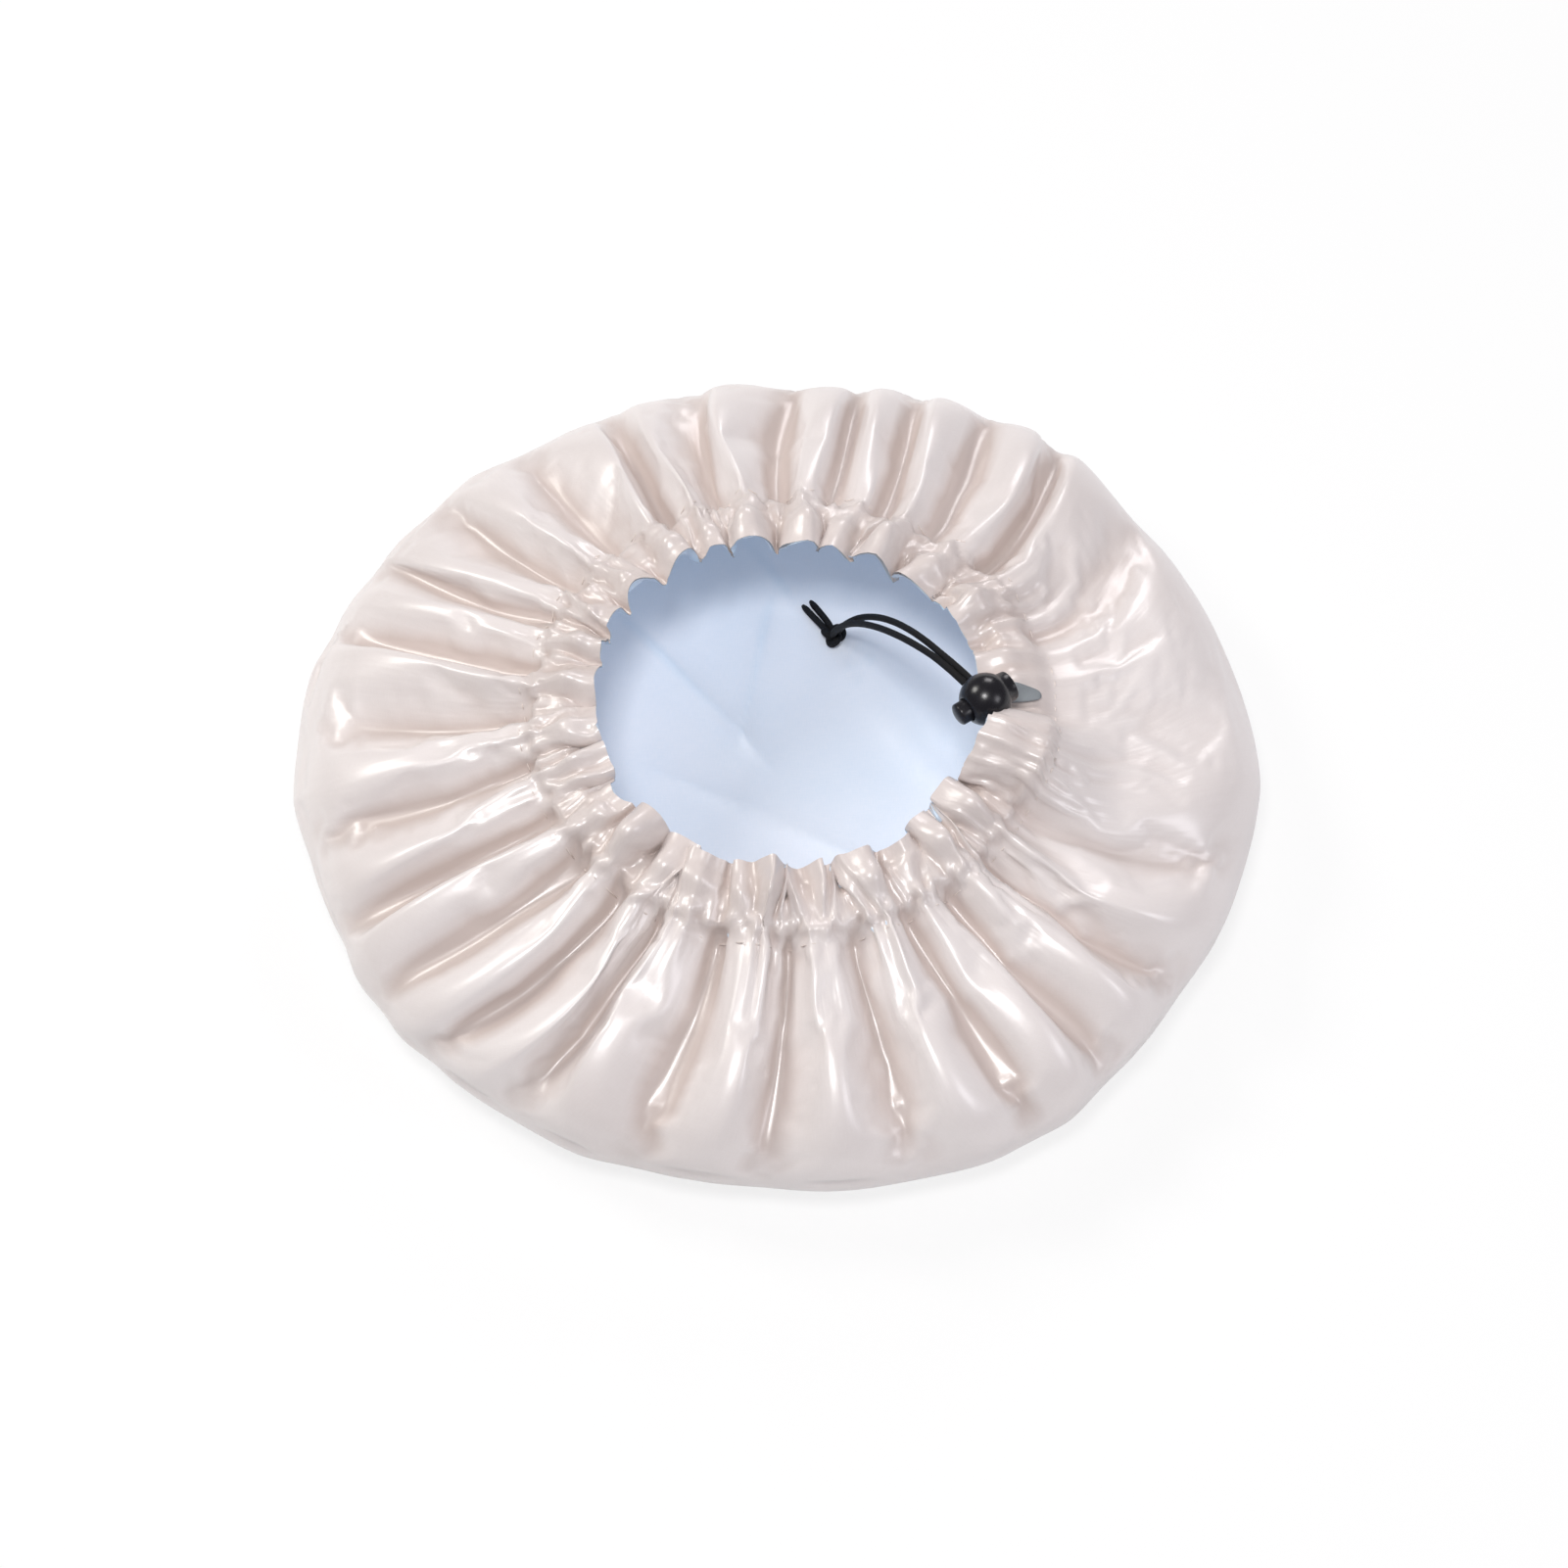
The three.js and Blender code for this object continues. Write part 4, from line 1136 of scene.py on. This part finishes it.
class BONNET_OT_cloth(bpy.types.Operator):
    """Cut, gather and drape the outer satin and the blue lining"""

    bl_idname = "bonnet.cloth"
    bl_label = "Satin Layers"

    def execute(self, context):
        pouch, colours = context.scene.pouch, context.scene.bonnet_colours
        cloth = Cloth(context)
        line = cloth.meridian
        cloth.settle(pouch.frames)
        DRAPED["cloth"] = cloth
        angles = np.arange(pouch.columns) / 2 * 360 / cloth.columns

        # The pearl satin's faint emission is painted light, and its colour is painted darker over the
        # casing, as shade in the ruffles
        pearl = satin(
            "pearl satin", colours.satin, colours.satin_mottle_and_painted_shade, painted_glow=0.04, rough=0.36, low=1.9, painted_shade_beyond=0.3
        )
        crown = cloth.laid(crown_rows(line, 8), angles)
        cloth_piece(
            "outer_cloth", cloth, crown, cloth.outer, cloth.outer_rows, pearl, "outer_satin",
            ("outer_satin", "casing_outer"), [],
        )

        # The lining's stronger emission is painted light, and its colour is painted darker from about two
        # thirds of the way out across the crown, as shade under the rim
        blue = satin(
            "blue satin", colours.lining, colours.lining_mottle_and_painted_shade, painted_glow=0.15, rough=0.5, low=-0.36, painted_shade_beyond=0.35
        )
        middle = crown_rows(line, 30)
        crown = cloth.laid(middle, angles, lining=True)
        inward = 1 - smooth(0.8 * line.edge, line.edge, middle)[:, None]
        crown[..., 2] += (CROWN_LIFT + crown_relief(crown[..., 0], crown[..., 1])) * inward
        cloth_piece(
            "lining_cloth", cloth, crown, *lining_layer(cloth), blue, "lining_satin",
            ("lining_satin", "casing_lining"), ["outer_cloth"],
        )
        return {"FINISHED"}


def pucker(points, stages, angles):
    """The cloth with the small sharp creases that the stitches pull into it on both sides of the seam."""
    t, stage = np.radians(angles)[None, :], stages[:, None]
    count = PUCKERS * t / (2 * np.pi) + 0.7 * np.sin(3 * t + 1.0) + 0.9 * np.sin(7 * t + 0.4)
    slant = 0.5 * np.sin(4 * t + 0.9) + 0.4 * np.sin(9 * t)
    count = count + 0.4 * np.sin(13 * t + 2.0) + (stage - 2) * slant
    ridge = 1 - 1.7 * np.abs(np.sin(np.pi * count)) ** 0.8
    strength = 0.62 + 0.38 * np.sin(10 * t + 0.5) + 0.25 * np.sin(23 * t + 2 * stage)
    _, top = gathered(angles)
    calm = 1 - 0.9 * bell(top[None, :], EXIT + 8, 22.0)
    where = smooth(1.72, 2.0, stage) * (1 - 0.35 * smooth(2.1, 2.5, stage))
    deep = PUCKER_HEIGHT * where * strength * ridge * calm
    return points + grid_normals(eased(points, 10)) * deep[..., None]


def face_up(mesh):
    """Turn the faces of a mesh the same way."""
    bm = bmesh.new()
    bm.from_mesh(mesh)
    bmesh.ops.recalc_face_normals(bm, faces=bm.faces)
    bm.to_mesh(mesh)
    bm.free()


class BONNET_OT_stage(bpy.types.Operator):
    """Set the camera, the lamps and the pale floor"""

    bl_idname = "bonnet.stage"
    bl_label = "Studio"

    def execute(self, context):
        scene, studio = context.scene, context.scene.bonnet_studio
        scene.view_settings.view_transform = "Standard"
        aim = Vector(AIM) + Vector(PLACE_SHIFT)
        towards = Vector((0, -math.cos(studio.elevation), math.sin(studio.elevation)))
        data = bpy.data.cameras.new("Camera")
        data.lens = studio.lens
        data.sensor_width = 36
        data.clip_start, data.clip_end = 0.01, 20
        camera = bpy.data.objects.new("Camera", data)
        scene.collection.objects.link(camera)
        camera.location = aim + towards * studio.distance
        camera.rotation_euler = towards.to_track_quat("Z", "Y").to_euler()
        scene.camera = camera

        world = bpy.data.worlds.new("Studio")
        world.use_nodes = True
        sky = world.node_tree.nodes["Background"].inputs
        sky[0].default_value, sky[1].default_value = (*SKY_TINT, 1), SKY_POWER
        scene.world = world

        for name, place, size, power, tint in LAMPS:
            lamp = bpy.data.lights.new(name, "AREA")
            lamp.size, lamp.energy, lamp.color = size, power, tint
            holder = bpy.data.objects.new(name, lamp)
            scene.collection.objects.link(holder)
            holder.location = place
            holder.rotation_euler = Vector(place).to_track_quat("Z", "Y").to_euler()

        bm = bmesh.new()
        bmesh.ops.create_grid(bm, x_segments=2, y_segments=2, size=3.0)
        bmesh.ops.translate(bm, verts=bm.verts, vec=(0, 0, -0.0002))
        floor = place_mesh("floor", bm)
        paint = Paint("pale floor", Roughness=0.9, Base_Color=(0.9, 0.9, 0.9, 1), Specular_IOR_Level=0.0)
        white = paint.node("ShaderNodeEmission", Color=(1, 1, 1, 1), Strength=1.0)
        seen = paint.amount("ShaderNodeLightPath", output="Is Camera Ray")
        both = paint.node("ShaderNodeMixShader", seen * 0.8, paint.shader.outputs[0], white)
        paint.feed(paint.tree.nodes["Material Output"].inputs[0], both)
        floor.data.materials.append(paint.material)
        return {"FINISHED"}


class BONNET_OT_seams(bpy.types.Operator):
    """Sew the gather line, thread the drawcord through its channel and lay the tongue over the slit"""

    bl_idname = "bonnet.seams"
    bl_label = "Seams"

    def execute(self, context):
        cord, colours = context.scene.bonnet_cord, context.scene.bonnet_colours
        cloth = DRAPED["cloth"]
        gather, hem = cloth.meridian.gather, cloth.meridian.hem
        line = cloth.outer_line(gather, np.arange(cord.stitches) * cloth.columns / cord.stitches)
        bm = bmesh.new()
        for i in range(0, cord.stitches - 1, 2):
            a, b = Vector(line[i]), Vector(line[i + 1])
            made = bmesh.ops.create_icosphere(bm, subdivisions=1, radius=1.0)["verts"]
            half = cord.thread * 0.6
            size = Matrix.Diagonal((max((b - a).length, 0.0012) * 0.55, half, half, 1))
            turn = (b - a).to_track_quat("X", "Z").to_matrix().to_4x4()
            bmesh.ops.transform(bm, verts=made, matrix=Matrix.Translation((a + b) / 2) @ turn @ size)
        thread = cotton("thread", linear(232, 222, 216), linear(214, 202, 194))
        finish_mesh("stitches", bm, thread, "bonnet", ("casing_stitching",))

        round_it = np.linspace(SLIT + SLIT_HALF, SLIT - SLIT_HALF + 360, 240) % 360
        path = [Vector(p) for p in channel_line(cloth.meridian, round_it)]
        elastic = bpy.data.materials["black elastic"]
        ring = tube(path, cord.diameter / 2, 10)
        finish_mesh("drawcord_ring", ring, elastic, "bonnet", ("drawcord",))

        bm = bmesh.new()
        bmesh.ops.create_grid(bm, x_segments=14, y_segments=10, size=0.5)
        for vert in bm.verts:
            from_tip = 0.5 - vert.co.x
            width = TONGUE_WIDTH * mix(TONGUE_TIP, 1, math.sqrt(from_tip))
            along = mix(gather, hem, mix(0.24, 0.72, from_tip))
            column = (TONGUE_ANGLE + math.degrees(vert.co.y * width / TONGUE_RADIUS)) * cloth.columns / 360
            vert.co = Vector(cloth.outer_line(along, np.array([column]))[0]) + Vector((0, 0, TONGUE_LIFT))
        # The tongue is a tape laid over the slit, coloured grey as the facing looks in deep shade, so its
        # grey is painted shade
        painted_shade_grey = cotton("facing tape", tuple(colours.facing), scaled(colours.facing, 0.8))
        tape = finish_mesh("tongue", bm, painted_shade_grey, "bonnet", ("exit_facing",))
        thick = tape.modifiers.new("Tape", "SOLIDIFY")
        thick.thickness, thick.offset = TONGUE_THICK, 1.0
        return {"FINISHED"}


class BONNET_OT_trim(bpy.types.Operator):
    """Paint the spring inside the lock"""

    bl_idname = "bonnet.trim"
    bl_label = "Spring"

    def execute(self, context):
        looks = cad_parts["lock_spring"].data.materials
        looks.clear()
        looks.append(spring_wire("spring wire"))
        return {"FINISHED"}


class BONNET_PT_parts(bpy.types.Panel):
    """The bonnet's pieces"""

    bl_label = "Hair Bonnet"
    bl_space_type = "VIEW_3D"
    bl_region_type = "UI"
    bl_category = "Bonnet"

    def draw(self, context):
        for operator in OPERATORS:
            self.layout.operator(operator.bl_idname)


OPERATORS = (
    BONNET_OT_stage, BONNET_OT_cords, BONNET_OT_lock, BONNET_OT_cloth, BONNET_OT_seams, BONNET_OT_trim,
)
GROUPS = (
    ("pouch", PouchSizes), ("bonnet_cord", CordSizes), ("bonnet_lock", LockSizes),
    ("bonnet_colours", Colours), ("bonnet_studio", Studio),
)


def register():
    for name, group in GROUPS:
        bpy.utils.register_class(group)
        setattr(bpy.types.Scene, name, PointerProperty(type=group))
    for cls in (*OPERATORS, BONNET_PT_parts):
        bpy.utils.register_class(cls)


def unregister():
    for cls in (BONNET_PT_parts, *reversed(OPERATORS)):
        bpy.utils.unregister_class(cls)
    for name, group in reversed(GROUPS):
        delattr(bpy.types.Scene, name)
        bpy.utils.unregister_class(group)


def main():
    register()
    bpy.ops.bonnet.stage()
    bpy.ops.bonnet.cords()
    bpy.ops.bonnet.lock()
    bpy.ops.bonnet.cloth()
    bpy.ops.bonnet.seams()
    bpy.ops.bonnet.trim()


if __name__ == "__main__":
    main()
